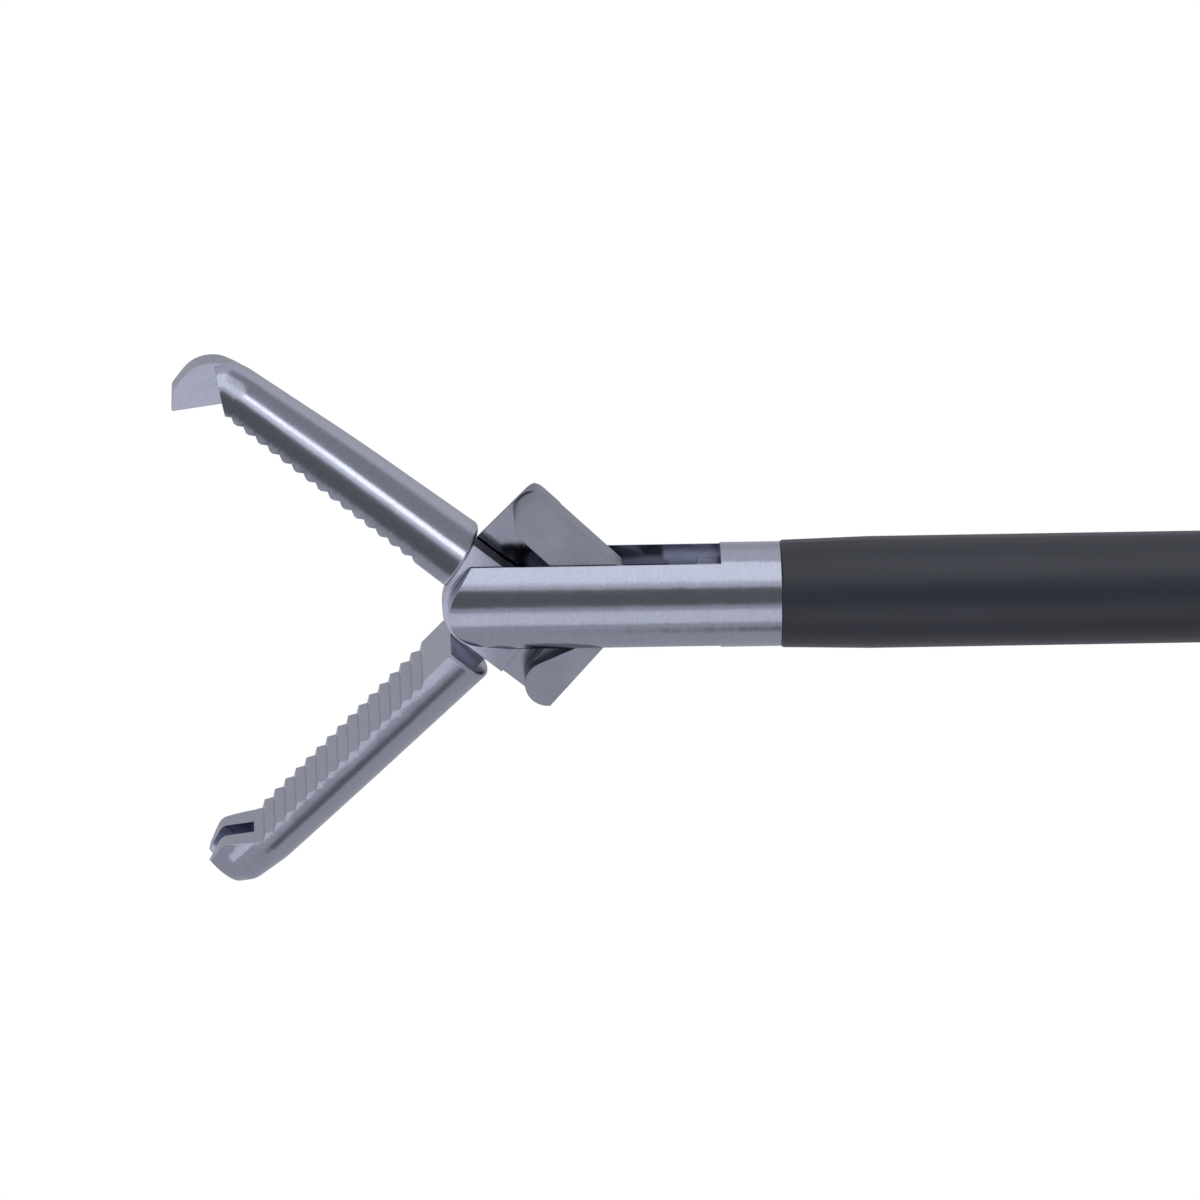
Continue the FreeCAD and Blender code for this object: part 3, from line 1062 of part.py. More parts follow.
def make_lever_insert():
    """Steel insert of the lever: pivot eye, lower arm and ball seat."""
    side = "sizes.insert_half"
    eye = along_y("insert_eye", "sizes.insert_boss", f"-{side}", side)
    arm_top = "sizes.seat_low + sizes.insert_root"
    arm = box("insert_arm_bar", "-sizes.insert_arm", "sizes.insert_arm", f"-{side}", side, 0, arm_top)
    leg = lever_leg("insert_leg_bar", "sizes.insert_reach", "sizes.insert_leg", side)
    block = box(
        "seat_block", "-sizes.seat_half", "sizes.seat_half", "-sizes.seat_side", "sizes.seat_side",
        "sizes.seat_low", "sizes.seat_high",
    )
    notch = "(sizes.ball_radius + sizes.ball_play)"
    floor = "(-sizes.lever_z - sizes.ball_radius - sizes.seat_room)"
    pocket = box("ball_notch", f"-{notch}", notch, -BEYOND, BEYOND, floor, BEYOND)
    gate = "(sizes.neck_radius + sizes.seat_step)"
    slot = box("neck_slot", -BEYOND, 0, f"-{gate}", gate, f"{floor} + sizes.seat_step", BEYOND)
    pivot = along_y("insert_pivot", "sizes.lever_pin_radius + sizes.hinge_gap", -BEYOND, BEYOND)
    holes = rivet_holes("insert_rivet_room", "sizes.rivet_radius + sizes.fixed_gap")
    insert = cut("lever_insert", fuse("insert_solid", eye, arm, leg, block), pocket, slot, pivot, *holes)
    part(open_lever(insert), "lever_insert")


def make_thumb_lever():
    """Moulded lever with its thumb ring, slit for the steel insert, and the rivets."""
    side = "sizes.lever_half"
    boss = along_y("lever_boss", "sizes.lever_boss", f"-{side}", side)
    reach = f"{STEM_LENGTH} - sizes.thumb_bore - sizes.stem_root"
    stem = lever_leg("stem", reach, "sizes.stem_half", side)
    stem = rounded(
        "stem_rounded", stem, "sizes.stem_rounding",
        lambda edge: abs(edge.Length - value(reach)) < SAME,
    )
    ring = along_y(
        "thumb_outer", "sizes.thumb_bore + sizes.thumb_wall", "-sizes.thumb_half", "sizes.thumb_half",
        "sizes.thumb_u", "sizes.thumb_v",
    )
    room = along_y("thumb_room", "sizes.thumb_bore", -BEYOND, BEYOND, "sizes.thumb_u", "sizes.thumb_v")
    ring = cut("thumb_cut", ring, room)
    ring = rounded("thumb_ring", ring, "sizes.thumb_rounding", lambda edge: len(edge.Vertexes) == 1)
    slit = "(sizes.insert_half + sizes.fixed_gap)"
    slit_eye = along_y("slit_eye", "sizes.insert_boss + sizes.slit_play", f"-{slit}", slit)
    arm = "(sizes.insert_arm + sizes.slit_play)"
    slit_arm = box("slit_arm", f"-{arm}", arm, f"-{slit}", slit, 0, BEYOND)
    slit_reach, slit_half = "sizes.insert_reach + sizes.slit_play", "sizes.insert_leg + sizes.slit_play"
    slit_leg = lever_leg("slit_leg", slit_reach, slit_half, slit)
    pivot = along_y("lever_pivot", "sizes.lever_pin_radius + sizes.boss_play", -BEYOND, BEYOND)
    holes = rivet_holes("lever_rivet_room", "sizes.rivet_radius + sizes.fixed_gap")
    solid = fuse("lever_solid", boss, stem, ring)
    lever = cut("thumb_lever", solid, slit_eye, slit_arm, slit_leg, pivot, room, *holes)
    part(open_lever(lever), "thumb_lever")
    part(open_lever(fuse("insert_rivets", *rivet_holes("rivet", "sizes.rivet_radius"))), "insert_rivets")


def check(piece):
    """Stop when a finished piece isn't sound."""
    if piece.Shape.isNull() or not piece.Shape.isValid():
        raise RuntimeError(f"{piece.Label} has no valid shape")


def main():
    make_upper_jaw()
    make_lower_jaw()
    make_tail_pin("upper_tail_pin", -1, "sizes.upper_open")
    make_tail_pin("lower_tail_pin", 1, "sizes.lower_open")
    make_link("upper_link", -1, "sizes.upper_open")
    make_link("lower_link", 1, "sizes.lower_open")
    make_clevis()
    make_pivot_pin()
    make_rod()
    make_shaft()
    make_wheel()
    make_shells()
    make_bearing()
    make_connector()
    make_pins()
    make_lever_insert()
    make_thumb_lever()
    doc.recompute()
    for item in doc.Objects:
        if "Invalid" in item.State or "Error" in item.State:
            raise RuntimeError(f"{item.Name} failed")
    os.makedirs("parts", exist_ok=True)
    for piece in parts:
        check(piece)
        piece.Shape.exportStep(f"parts/{piece.Label}.step")


main()
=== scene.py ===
import math

import bpy
from bpy.props import FloatProperty, PointerProperty, StringProperty
from mathutils import Matrix, Vector


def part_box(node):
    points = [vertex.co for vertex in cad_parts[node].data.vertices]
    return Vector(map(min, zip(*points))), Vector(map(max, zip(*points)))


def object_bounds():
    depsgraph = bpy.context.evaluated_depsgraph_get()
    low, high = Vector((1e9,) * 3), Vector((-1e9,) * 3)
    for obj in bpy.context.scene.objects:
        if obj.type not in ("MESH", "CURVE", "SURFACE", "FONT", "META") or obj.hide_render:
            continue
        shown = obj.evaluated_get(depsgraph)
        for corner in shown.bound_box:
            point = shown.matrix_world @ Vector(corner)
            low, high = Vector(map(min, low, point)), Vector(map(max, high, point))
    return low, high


bl_info = {
    "name": "Grasping forceps",
    "version": (1, 0, 0),
    "blender": (4, 5, 0),
    "location": "3D View > Sidebar > Forceps",
    "description": "Finishes of a laparoscopic grasping forceps and the studio that it is shown in",
    "category": "Object",
}

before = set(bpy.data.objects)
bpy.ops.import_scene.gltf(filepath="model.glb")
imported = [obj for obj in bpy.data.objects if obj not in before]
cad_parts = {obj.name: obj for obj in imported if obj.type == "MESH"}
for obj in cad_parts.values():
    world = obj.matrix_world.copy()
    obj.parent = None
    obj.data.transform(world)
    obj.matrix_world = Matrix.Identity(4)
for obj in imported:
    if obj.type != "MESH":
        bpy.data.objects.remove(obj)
CAD_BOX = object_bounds()

MM = 0.001

# The floor, its gap under the lowest point, and its glow to the camera and in the steel's reflections.
FLOOR_SIZE = 6
FLOOR_DROP = 1 * MM
FLOOR_SEEN = 1.12
FLOOR_MIRRORED = 0.48
# Cool white of the studio's lamps and walls.
DAYLIGHT = (0.962, 0.972, 1.045)


def middle(node):
    """Centre of a node's box."""
    low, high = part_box(node)
    return (low + high) / 2


PIVOT = middle("jaw_pivot_pin")
OPEN_ANGLES = {"upper_jaw": math.radians(39.5), "lower_jaw": math.radians(-45.7)}

# Painted shade on the jaws' hubs and tails, darkened to stand in for the shade they sit in among the links
# and the clevis: where it begins and is complete, and the share of colour kept.
TAIL_SHADE_START, TAIL_SHADE_END = PIVOT.x - 1.0 * MM, PIVOT.x + 0.6 * MM
TAIL_SHADE_SHARE = 0.6

# Patterns on steel: spots of tone, the slow waves of hand polish, and duller patches.
SPOT = (0.13 * MM, 0.13 * MM, 0.13 * MM)
SPOT_CONTRAST = 0.06
WAVE = (0.9 * MM, 2.4 * MM, 2.4 * MM)
PATCH = (2.4 * MM, 2.4 * MM, 2.4 * MM)
# Clouds of tone in plastic.
CLOUD = (9 * MM, 9 * MM, 9 * MM)
# Share of its colour that steel keeps in its tool marks, and plastic in its clouds.
STEEL_SHADE = 0.9
PLASTIC_SHADE = 0.82

# Half of the picture's side in pixels, and the camera's sensor in millimetres.
HALF_PICTURE = 600
SENSOR = 36

# Painted shadow on the floor in front of the jaws: a soft dark patch, shown only in reflections, that stands
# in for the object's own shadow there.
SHADOW_PATCH_PLACE = (PIVOT.x + 30 * MM, -44 * MM, 0)
SHADOW_PATCH_INNER, SHADOW_PATCH_OUTER = 9 * MM, 26 * MM
SHADOW_PATCH_SHARE = 0.25


def linear(code, alpha=1.0):
    """Linear colour of an sRGB hex code."""
    values = []
    for start in (1, 3, 5):
        share = int(code[start:start + 2], 16) / 255
        values.append(share / 12.92 if share <= 0.04045 else ((share + 0.055) / 1.055) ** 2.4)
    return (*values, alpha)


def shaded(code, share):
    """Linear colour of a hex code, darkened to a share of it."""
    return (*(share * value for value in linear(code)[:3]), 1)


def add(tree, kind, inputs=None, **settings):
    """Add a node to a tree, with its settings, its input values and its links."""
    node = tree.nodes.new(kind)
    for name, value in settings.items():
        setattr(node, name, value)
    for socket, value in (inputs or {}).items():
        if isinstance(value, bpy.types.NodeSocket):
            tree.links.new(value, node.inputs[socket])
        else:
            node.inputs[socket].default_value = value
    return node


def blank_material(name):
    """A material with an empty tree and its output."""
    material = bpy.data.materials.new(name)
    material.use_nodes = True
    tree = material.node_tree
    tree.nodes.clear()
    return material, tree


def finish_surface(tree, shader):
    """Send a shader to the material's output."""
    add(tree, "ShaderNodeOutputMaterial", {"Surface": shader.outputs[0]})


def pattern_place(tree, centre, turn, size):
    """Object coordinates moved to a centre, turned about Y, and divided by a grain size along each axis."""
    place = add(tree, "ShaderNodeTexCoord")
    return add(tree, "ShaderNodeMapping", {
        "Vector": place.outputs["Object"],
        "Location": centre,
        "Rotation": (0, turn, 0),
        "Scale": size,
    }, vector_type="TEXTURE").outputs["Vector"]


def painted_tail_shade(tree, colour):
    """Painted shade: the jaws' hubs and tails, behind the pivot, are darkened in colour to stand in for the
    shade among the links and the clevis.
    """
    place = add(tree, "ShaderNodeTexCoord")
    along = add(tree, "ShaderNodeSeparateXYZ", {"Vector": place.outputs["Object"]})
    share = add(tree, "ShaderNodeMapRange", {
        "Value": along.outputs["X"], "From Min": TAIL_SHADE_START, "From Max": TAIL_SHADE_END,
        "To Min": 1.0, "To Max": TAIL_SHADE_SHARE,
    }, interpolation_type="SMOOTHSTEP")
    return add(tree, "ShaderNodeVectorMath", {
        0: colour, "Scale": share.outputs["Result"],
    }, operation="SCALE")


def steel(name, code, roughness, centre, turn, grain, scratch_height, edge, wave_height=0.0, tail_shade=False):
    """Metal with fine tool marks, whose size along each axis is the grain.

    The eye sees soft bands of reflected light that break up a little at the marks and bend with the
    hand-polished form, a mottled tone from spot to spot, slightly duller patches where the polish is
    uneven, and a thin bright line along each broken edge. The spots are drawn coarser than real ones.
    """
    material, tree = blank_material(name)
    spots = add(tree, "ShaderNodeTexNoise", {
        "Vector": pattern_place(tree, centre, turn, SPOT),
        "Scale": 1.0, "Detail": 2.0, "Roughness": 0.5,
    })
    mottle = add(tree, "ShaderNodeMapRange", {
        "Value": spots.outputs["Fac"], "From Min": 0.25, "From Max": 0.75,
        "To Min": 1 - SPOT_CONTRAST, "To Max": 1 + SPOT_CONTRAST,
    })
    waves = add(tree, "ShaderNodeTexNoise", {
        "Vector": pattern_place(tree, centre, turn, WAVE),
        "Scale": 1.0, "Detail": 1.0, "Roughness": 0.4,
    })
    marks = add(tree, "ShaderNodeTexNoise", {
        "Vector": pattern_place(tree, centre, turn, grain), "Scale": 1.0, "Detail": 3.0, "Roughness": 0.6,
    })
    patches = add(tree, "ShaderNodeTexNoise", {
        "Vector": pattern_place(tree, centre, turn, PATCH),
        "Scale": 1.0, "Detail": 4.0, "Roughness": 0.55,
    })
    dulled = add(tree, "ShaderNodeMapRange", {
        "Value": patches.outputs["Fac"], "From Min": 0.3, "From Max": 0.7,
        "To Min": roughness * 0.85, "To Max": roughness * 1.2,
    })
    tint = add(tree, "ShaderNodeMixRGB", {
        "Fac": marks.outputs["Fac"], "Color1": linear(code), "Color2": shaded(code, STEEL_SHADE),
    })
    mottled = add(tree, "ShaderNodeVectorMath", {
        0: tint.outputs["Color"], "Scale": mottle.outputs["Result"],
    }, operation="SCALE")
    # Painted shade on the jaws' hubs and tails behind the pivot.
    if tail_shade:
        mottled = painted_tail_shade(tree, mottled.outputs["Vector"])
    broken_edge = add(tree, "ShaderNodeBevel", {"Radius": edge}, samples=4)
    waved = add(tree, "ShaderNodeBump", {
        "Height": waves.outputs["Fac"], "Normal": broken_edge.outputs["Normal"],
        "Strength": 1.0, "Distance": wave_height,
    })
    bump = add(tree, "ShaderNodeBump", {
        "Height": marks.outputs["Fac"], "Normal": waved.outputs["Normal"],
        "Strength": 1.0, "Distance": scratch_height,
    })
    shader = add(tree, "ShaderNodeBsdfPrincipled", {
        "Base Color": mottled.outputs["Vector"], "Metallic": 1.0,
        "Roughness": dulled.outputs["Result"], "Normal": bump.outputs["Normal"],
    })
    finish_surface(tree, shader)
    return material


def plastic(name, code, roughness, grain, grain_height, centre=(0, 0, 0), stretch=(1, 1, 1)):
    """Plastic with a fine grain in its surface.

    The eye sees a soft, broad sheen that breaks up at the grain, with clouds of slightly darker tone.
    """
    material, tree = blank_material(name)
    size = tuple(grain * share for share in stretch)
    grains = add(tree, "ShaderNodeTexNoise", {
        "Vector": pattern_place(tree, centre, 0, size), "Scale": 1.0, "Detail": 3.0, "Roughness": 0.6,
    })
    clouds = add(tree, "ShaderNodeTexNoise", {
        "Vector": pattern_place(tree, centre, 0, CLOUD), "Scale": 1.0, "Detail": 3.0,
    })
    tint = add(tree, "ShaderNodeMixRGB", {
        "Fac": clouds.outputs["Fac"], "Color1": linear(code), "Color2": shaded(code, PLASTIC_SHADE),
    })
    dulled = add(tree, "ShaderNodeMapRange", {
        "Value": clouds.outputs["Fac"], "From Min": 0.3, "From Max": 0.7,
        "To Min": roughness * 0.92, "To Max": roughness * 1.1,
    })
    bump = add(tree, "ShaderNodeBump", {
        "Height": grains.outputs["Fac"], "Strength": 1.0, "Distance": grain_height,
    })
    shader = add(tree, "ShaderNodeBsdfPrincipled", {
        "Base Color": tint.outputs["Color"], "Roughness": dulled.outputs["Result"],
        "Normal": bump.outputs["Normal"], "IOR": 1.5,
    })
    finish_surface(tree, shader)
    return material


def wear(material, *nodes):
    """Give a finish to CAD nodes through their material slots."""
    for name in nodes:
        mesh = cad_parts[name].data
        mesh.materials.clear()
        mesh.materials.append(material)


class StudioSizes(bpy.types.PropertyGroup):
    """Camera and studio."""

    azimuth: FloatProperty(
        name="Azimuth", description="Camera's turn round the object from the front",
        default=math.radians(1.69), subtype="ANGLE",
    )
    elevation: FloatProperty(
        name="Elevation", description="Camera's height above the horizon",
        default=math.radians(21.1), subtype="ANGLE",
    )
    roll: FloatProperty(
        name="Roll", description="Camera's turn about its own line of sight",
        default=math.radians(-0.34), subtype="ANGLE",
    )
    distance: FloatProperty(
        name="Distance", description="Jaw pivot in front of the camera", default=605.6 * MM, unit="LENGTH",
    )
    pixels_per_mm: FloatProperty(
        name="Scale", description="Picture pixels per millimetre at the jaw pivot", default=22.47,
    )
    pivot_x: FloatProperty(
        name="Pivot X", description="Jaw pivot in the picture, pixels from the left", default=486.5,
    )
    pivot_y: FloatProperty(
        name="Pivot Y", description="Jaw pivot in the picture, pixels from the top", default=596.5,
    )


class FinishColours(bpy.types.PropertyGroup):
    """Colours of the materials, as sRGB hex codes."""

    steel_colour: StringProperty(
        name="Steel", description="Stainless steel of the jaws and the round body", default="#b6b9c7",
    )
    blasted_colour: StringProperty(
        name="Blasted steel", description="Toggle links and rod", default="#9fa2ae",
    )
    sleeve_colour: StringProperty(
        name="Sleeve", description="Insulation of the shaft", default="#2d3039",
    )
    handle_colour: StringProperty(
        name="Handle", description="Moulded plastic of the handle", default="#2b2d33",
    )
    wheel_colour: StringProperty(
        name="Wheel", description="Moulded plastic of the wheel", default="#34373f",
    )
    acetal_colour: StringProperty(
        name="Acetal", description="Bearing bush and rod seal", default="#b8a888",
    )
    brass_colour: StringProperty(
        name="Brass", description="Threaded inserts and contact spring", default="#c9a35c",
    )


class FORCEPS_OT_jaws(bpy.types.Operator):
    """Ground stainless steel of the jaws."""

    bl_idname = "forceps.jaws"
    bl_label = "Jaws"

    def execute(self, context):
        colours = context.scene.forceps_colours
        # Ground across the blade, which frays the edges of its long line of light. Real marks are finer
        # than 0.1 mm and are drawn that coarse to show.
        # Their hubs and tails behind the pivot get painted shade in their colour.
        for jaw in ("upper_jaw", "lower_jaw"):
            ground = steel(
                f"ground_stainless_{jaw}", colours.steel_colour, roughness=0.15,
                centre=PIVOT, turn=OPEN_ANGLES[jaw], grain=(0.1 * MM, 1.6 * MM, 1.6 * MM),
                scratch_height=0.0042 * MM, edge=0.06 * MM, wave_height=0.012 * MM, tail_shade=True,
            )
            wear(ground, jaw)
        return {"FINISHED"}


class FORCEPS_OT_links(bpy.types.Operator):
    """Blasted stainless steel of the toggle links, their pins, the rod and the lever's insert."""

    bl_idname = "forceps.links"
    bl_label = "Links and rod"

    def execute(self, context):
        colours = context.scene.forceps_colours
        # Blasted to an even satin grey. The dents are drawn at 0.09 mm, coarser than real ones, to show.
        blasted = steel(
            "blasted_stainless", colours.blasted_colour, roughness=0.42,
            centre=PIVOT, turn=0, grain=(0.09 * MM, 0.09 * MM, 0.09 * MM),
            scratch_height=0.0015 * MM, edge=0.05 * MM,
        )
        wear(blasted, "upper_link", "lower_link", "rod_head", "upper_tail_pin", "lower_tail_pin",
             "drive_pin", "pull_rod", "rod_ball", "ball_lock_nut", "lever_insert", "insert_rivets")
        return {"FINISHED"}


class FORCEPS_OT_body(bpy.types.Operator):
    """Turned and polished stainless steel of the round body, the pins, the tube, the post and the screws."""

    bl_idname = "forceps.body"
    bl_label = "Round body"

    def execute(self, context):
        colours = context.scene.forceps_colours
        # Turned, then polished: long bands of light with wavy edges, and faint marks round the axis that
        # are drawn at 0.12 mm, coarser than real ones, to show.
        turned = steel(
            "turned_stainless", colours.steel_colour, roughness=0.17,
            centre=PIVOT, turn=0, grain=(0.12 * MM, 1.2 * MM, 1.2 * MM),
            scratch_height=0.0026 * MM, edge=0.04 * MM, wave_height=0.028 * MM,
        )
        wear(turned, "clevis", "jaw_pivot_pin", "shaft_tube", "wheel_bush", "connector_post",
             "shell_screws", "wheel_grub_screw", "lever_pivot_pin", "stop_pin")
        return {"FINISHED"}


class FORCEPS_OT_shaft(bpy.types.Operator):
    """Shrunk insulation of the shaft."""

    bl_idname = "forceps.shaft"
    bl_label = "Shaft insulation"

    def execute(self, context):
        colours = context.scene.forceps_colours
        # Drawn out and shrunk on, so its faint grain runs along the shaft.
        shrunk = plastic(
            "shrunk_polyolefin", colours.sleeve_colour, roughness=0.4,
            grain=0.3 * MM, grain_height=0.004 * MM, centre=PIVOT, stretch=(8, 1, 1),
        )
        wear(shrunk, "insulation_sleeve")
        return {"FINISHED"}


class FORCEPS_OT_handle(bpy.types.Operator):
    """Moulded plastic of the handle and the wheel, the small plastic pieces and the brass ones."""

    bl_idname = "forceps.handle"
    bl_label = "Handle and wheel"

    def execute(self, context):
        colours = context.scene.forceps_colours
        # Moulded against a spark-eroded tool, which leaves a matt grain.
        grained = plastic(
            "spark_grained_polyamide", colours.handle_colour, roughness=0.5,
            grain=0.25 * MM, grain_height=0.012 * MM,
        )
        wear(grained, "handle_shell_left", "handle_shell_right", "thumb_lever", "post_insulator")
        # Moulded in a smoother tool, with a satin sheen.
        satin = plastic(
            "satin_peek", colours.wheel_colour, roughness=0.42, grain=0.2 * MM, grain_height=0.006 * MM,
        )
        wear(satin, "rotation_wheel")
        # Cut from a bar, so it is nearly smooth.
        machined = plastic(
            "machined_acetal", colours.acetal_colour, roughness=0.45,
            grain=0.2 * MM, grain_height=0.003 * MM,
        )
        wear(machined, "bearing_bush", "rod_seal")
        # Turned brass, warm and a little dull.
        brass = steel(
            "turned_brass", colours.brass_colour, roughness=0.3,
            centre=(0, 0, 0), turn=0, grain=(0.3 * MM, 0.3 * MM, 0.3 * MM),
            scratch_height=0.002 * MM, edge=0.06 * MM,
        )
        wear(brass, "screw_inserts", "contact_spring")
        return {"FINISHED"}


class FORCEPS_OT_studio(bpy.types.Operator):
    """Pale floor, soft lamps, white background and the camera."""

    bl_idname = "forceps.studio"
    bl_label = "Studio"

    def execute(self, context):
        studio = context.scene.forceps_studio
        lay_floor()
        light_world(context.scene)
        hang_lamps()
        aim_camera(context.scene, studio)
        context.scene.view_settings.view_transform = "Standard"
        return {"FINISHED"}


def lay_floor():
    """Large pale floor under the handle's lowest point, which shows white and keeps a soft shadow, with a
    painted shadow patch in front of the jaws that only reflections show.
    """
    bpy.ops.mesh.primitive_plane_add(size=FLOOR_SIZE, location=(0, 0, CAD_BOX[0].z - FLOOR_DROP))
    floor = bpy.context.object
    floor.name = "floor"
    material, tree = blank_material("pale_paper")
    paper = add(tree, "ShaderNodeBsdfPrincipled", {"Base Color": linear("#e8e8ea"), "Roughness": 0.9})
    rays = add(tree, "ShaderNodeLightPath")
    place = add(tree, "ShaderNodeTexCoord")
    # Painted shadow: the floor's glow in reflections is dimmed near a point in front of the jaws.
    painted_shadow_distance = add(tree, "ShaderNodeVectorMath", {
        0: place.outputs["Object"], 1: SHADOW_PATCH_PLACE,
    }, operation="DISTANCE")
    mirrored = add(tree, "ShaderNodeMapRange", {
        "Value": painted_shadow_distance.outputs["Value"], "From Min": SHADOW_PATCH_INNER, "From Max": SHADOW_PATCH_OUTER,
        "To Min": FLOOR_MIRRORED * SHADOW_PATCH_SHARE - FLOOR_SEEN, "To Max": FLOOR_MIRRORED - FLOOR_SEEN,
    }, interpolation_type="SMOOTHSTEP")
    strength = add(tree, "ShaderNodeMath", {
        0: rays.outputs["Is Glossy Ray"], 1: mirrored.outputs["Result"], 2: FLOOR_SEEN,
    }, operation="MULTIPLY_ADD")
    tone = add(tree, "ShaderNodeMixRGB", {
        "Fac": rays.outputs["Is Glossy Ray"], "Color1": (1, 1, 1, 1), "Color2": (*DAYLIGHT, 1),
    })
    glow = add(tree, "ShaderNodeEmission", {"Color": tone.outputs["Color"], "Strength": strength.outputs[0]})
    shown = add(tree, "ShaderNodeMixShader", {
        "Fac": background_rays(tree, seen=0.8, mirrored=0.9), 1: paper.outputs[0], 2: glow.outputs[0],
    })
    finish_surface(tree, shown)
    floor.data.materials.append(material)


def background_rays(tree, seen, mirrored):
    """Share of white background for camera rays, and for glossy and transmitted ones."""
    rays = add(tree, "ShaderNodeLightPath")
    through = add(tree, "ShaderNodeMath", {
        0: rays.outputs["Is Glossy Ray"], 1: rays.outputs["Is Transmission Ray"],
    }, operation="MAXIMUM")
    reflected = add(tree, "ShaderNodeMath", {0: through.outputs[0], 1: mirrored}, operation="MULTIPLY")
    direct = add(tree, "ShaderNodeMath", {0: rays.outputs["Is Camera Ray"], 1: seen}, operation="MULTIPLY")
    return add(tree, "ShaderNodeMath", {
        0: direct.outputs[0], 1: reflected.outputs[0],
    }, operation="MAXIMUM").outputs[0]


def direction(azimuth, elevation):
    """Unit vector at an azimuth from the front towards +X, and an elevation, in degrees."""
    a, e = math.radians(azimuth), math.radians(elevation)
    return Vector((math.sin(a) * math.cos(e), -math.cos(a) * math.cos(e), math.sin(e)))


def dark_side(tree, toward, inner, outer, bright, dark):
    """Brightness of the room with a soft dark patch in one direction; radii are in degrees."""
    place = add(tree, "ShaderNodeTexCoord")
    along = add(tree, "ShaderNodeVectorMath", {
        0: place.outputs["Generated"], 1: toward,
    }, operation="DOT_PRODUCT")
    return add(tree, "ShaderNodeMapRange", {
        "Value": along.outputs["Value"],
        "From Min": math.cos(math.radians(outer)), "From Max": math.cos(math.radians(inner)),
        "To Min": bright, "To Max": dark,
    }, interpolation_type="SMOOTHSTEP").outputs["Result"]


def light_world(scene):
    """White background, and the darker sides of the studio that the steel mirrors.

    The patches are behind the camera, high at the right, and low behind the object.
    """
    world = bpy.data.worlds.new("studio")
    scene.world = world
    world.use_nodes = True
    tree = world.node_tree
    tree.nodes.clear()
    front = add(tree, "ShaderNodeMath", {
        0: dark_side(tree, direction(8, 16), inner=26, outer=38, bright=0.66, dark=0.07),
        1: dark_side(tree, direction(92, 38), inner=18, outer=34, bright=1.0, dark=0.45),
    }, operation="MULTIPLY")
    shade = add(tree, "ShaderNodeMath", {
        0: front.outputs[0],
        1: dark_side(tree, direction(200, 0), inner=30, outer=60, bright=1.0, dark=0.7),
    }, operation="MULTIPLY")
    room = add(tree, "ShaderNodeBackground", {"Color": (*DAYLIGHT, 1), "Strength": shade.outputs[0]})
    white = add(tree, "ShaderNodeBackground", {"Color": (1, 1, 1, 1), "Strength": 1.0})
    shown = add(tree, "ShaderNodeMixShader", {
        "Fac": background_rays(tree, seen=1.0, mirrored=0.1), 1: room.outputs[0], 2: white.outputs[0],
    })
    add(tree, "ShaderNodeOutputWorld", {"Surface": shown.outputs[0]})


def hang_lamp(name, aim, azimuth, elevation, distance, width, height, radiance):
    """Soft rectangular lamp that shines at a point; radiance is what a mirror would show of it."""
    data = bpy.data.lights.new(name, "AREA")
    data.shape = "RECTANGLE"
    data.size = width
    data.size_y = height
    data.energy = radiance * width * height * math.pi
    data.color = DAYLIGHT
    lamp = bpy.data.objects.new(name, data)
    lamp.visible_camera = False
    bpy.context.scene.collection.objects.link(lamp)
    back = direction(azimuth, elevation)
    lamp.location = aim + back * distance
    lamp.rotation_mode = "QUATERNION"
    lamp.rotation_quaternion = (-back).to_track_quat("-Z", "Y")


def hang_lamps():
    """Large lamp overhead, a narrow one at the right and a low one in front."""
    aim = Vector((PIVOT.x, 0, 0))
    hang_lamp("overhead", aim, azimuth=0, elevation=66, distance=0.9,
              width=1.6, height=1.06, radiance=0.54)
    hang_lamp("right_strip", aim, azimuth=57, elevation=29, distance=0.8,
              width=0.15, height=0.35, radiance=1.7)
    hang_lamp("front_card", aim, azimuth=0, elevation=-27, distance=0.11,
              width=0.12, height=0.06, radiance=0.43)


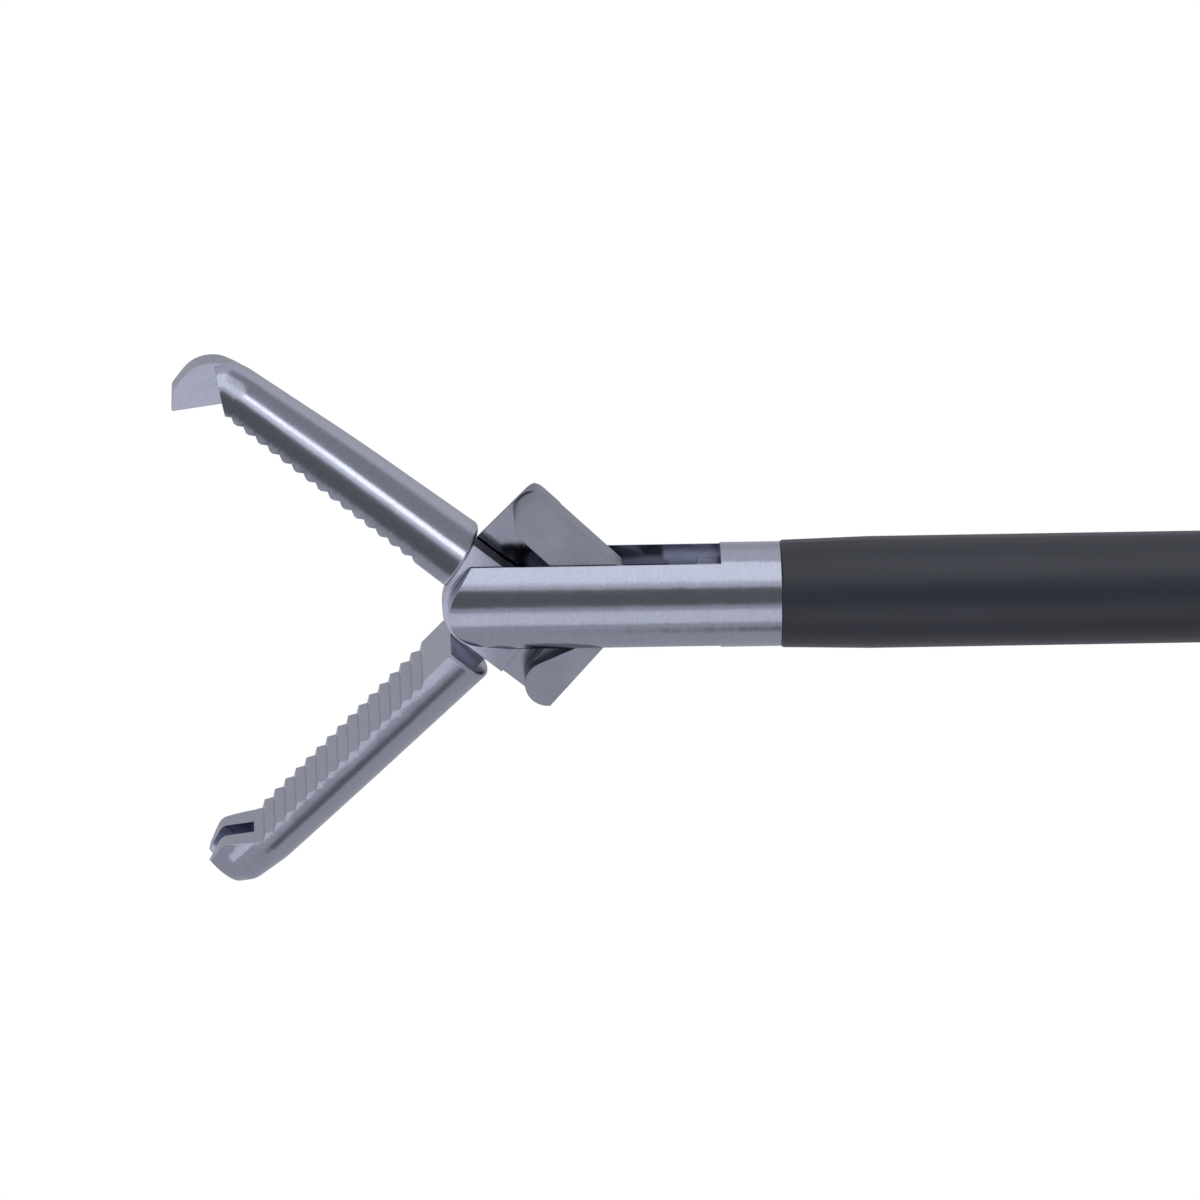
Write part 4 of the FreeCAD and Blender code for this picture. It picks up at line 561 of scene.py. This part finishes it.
def aim_camera(scene, studio):
    """Camera that puts the jaw pivot at its place in the picture."""
    a, e, roll = studio.azimuth, studio.elevation, studio.roll
    forward = Vector((math.sin(a) * math.cos(e), math.cos(a) * math.cos(e), -math.sin(e)))
    level = Vector((math.cos(a), -math.sin(a), 0))
    upright = level.cross(forward)
    right = level * math.cos(roll) + upright * math.sin(roll)
    up = upright * math.cos(roll) - level * math.sin(roll)
    across = (studio.pivot_x - HALF_PICTURE) / studio.pixels_per_mm * MM
    above = (HALF_PICTURE - studio.pivot_y) / studio.pixels_per_mm * MM
    data = bpy.data.cameras.new("camera")
    data.sensor_width = SENSOR
    data.lens = SENSOR * studio.distance / MM * studio.pixels_per_mm / (2 * HALF_PICTURE)
    data.clip_start, data.clip_end = 0.01, 50
    camera = bpy.data.objects.new("camera", data)
    scene.collection.objects.link(camera)
    place = PIVOT - right * across - up * above - forward * studio.distance
    camera.matrix_world = Matrix.Translation(place) @ Matrix((right, up, -forward)).transposed().to_4x4()
    scene.camera = camera


OPERATORS = (
    FORCEPS_OT_jaws,
    FORCEPS_OT_links,
    FORCEPS_OT_body,
    FORCEPS_OT_shaft,
    FORCEPS_OT_handle,
    FORCEPS_OT_studio,
)


class FORCEPS_PT_sidebar(bpy.types.Panel):
    """List of the forceps' operators."""

    bl_label = "Grasping forceps"
    bl_idname = "FORCEPS_PT_sidebar"
    bl_space_type = "VIEW_3D"
    bl_region_type = "UI"
    bl_category = "Forceps"

    def draw(self, context):
        for operator in OPERATORS:
            self.layout.operator(operator.bl_idname)


CLASSES = (StudioSizes, FinishColours, *OPERATORS, FORCEPS_PT_sidebar)


def register():
    """Register the classes and the scene's properties."""
    for item in CLASSES:
        bpy.utils.register_class(item)
    bpy.types.Scene.forceps_studio = PointerProperty(type=StudioSizes)
    bpy.types.Scene.forceps_colours = PointerProperty(type=FinishColours)


def unregister():
    """Remove the scene's properties and the classes."""
    del bpy.types.Scene.forceps_colours
    del bpy.types.Scene.forceps_studio
    for item in reversed(CLASSES):
        bpy.utils.unregister_class(item)


def main():
    """Make everything."""
    register()
    bpy.ops.forceps.jaws()
    bpy.ops.forceps.links()
    bpy.ops.forceps.body()
    bpy.ops.forceps.shaft()
    bpy.ops.forceps.handle()
    bpy.ops.forceps.studio()


if __name__ == "__main__":
    main()
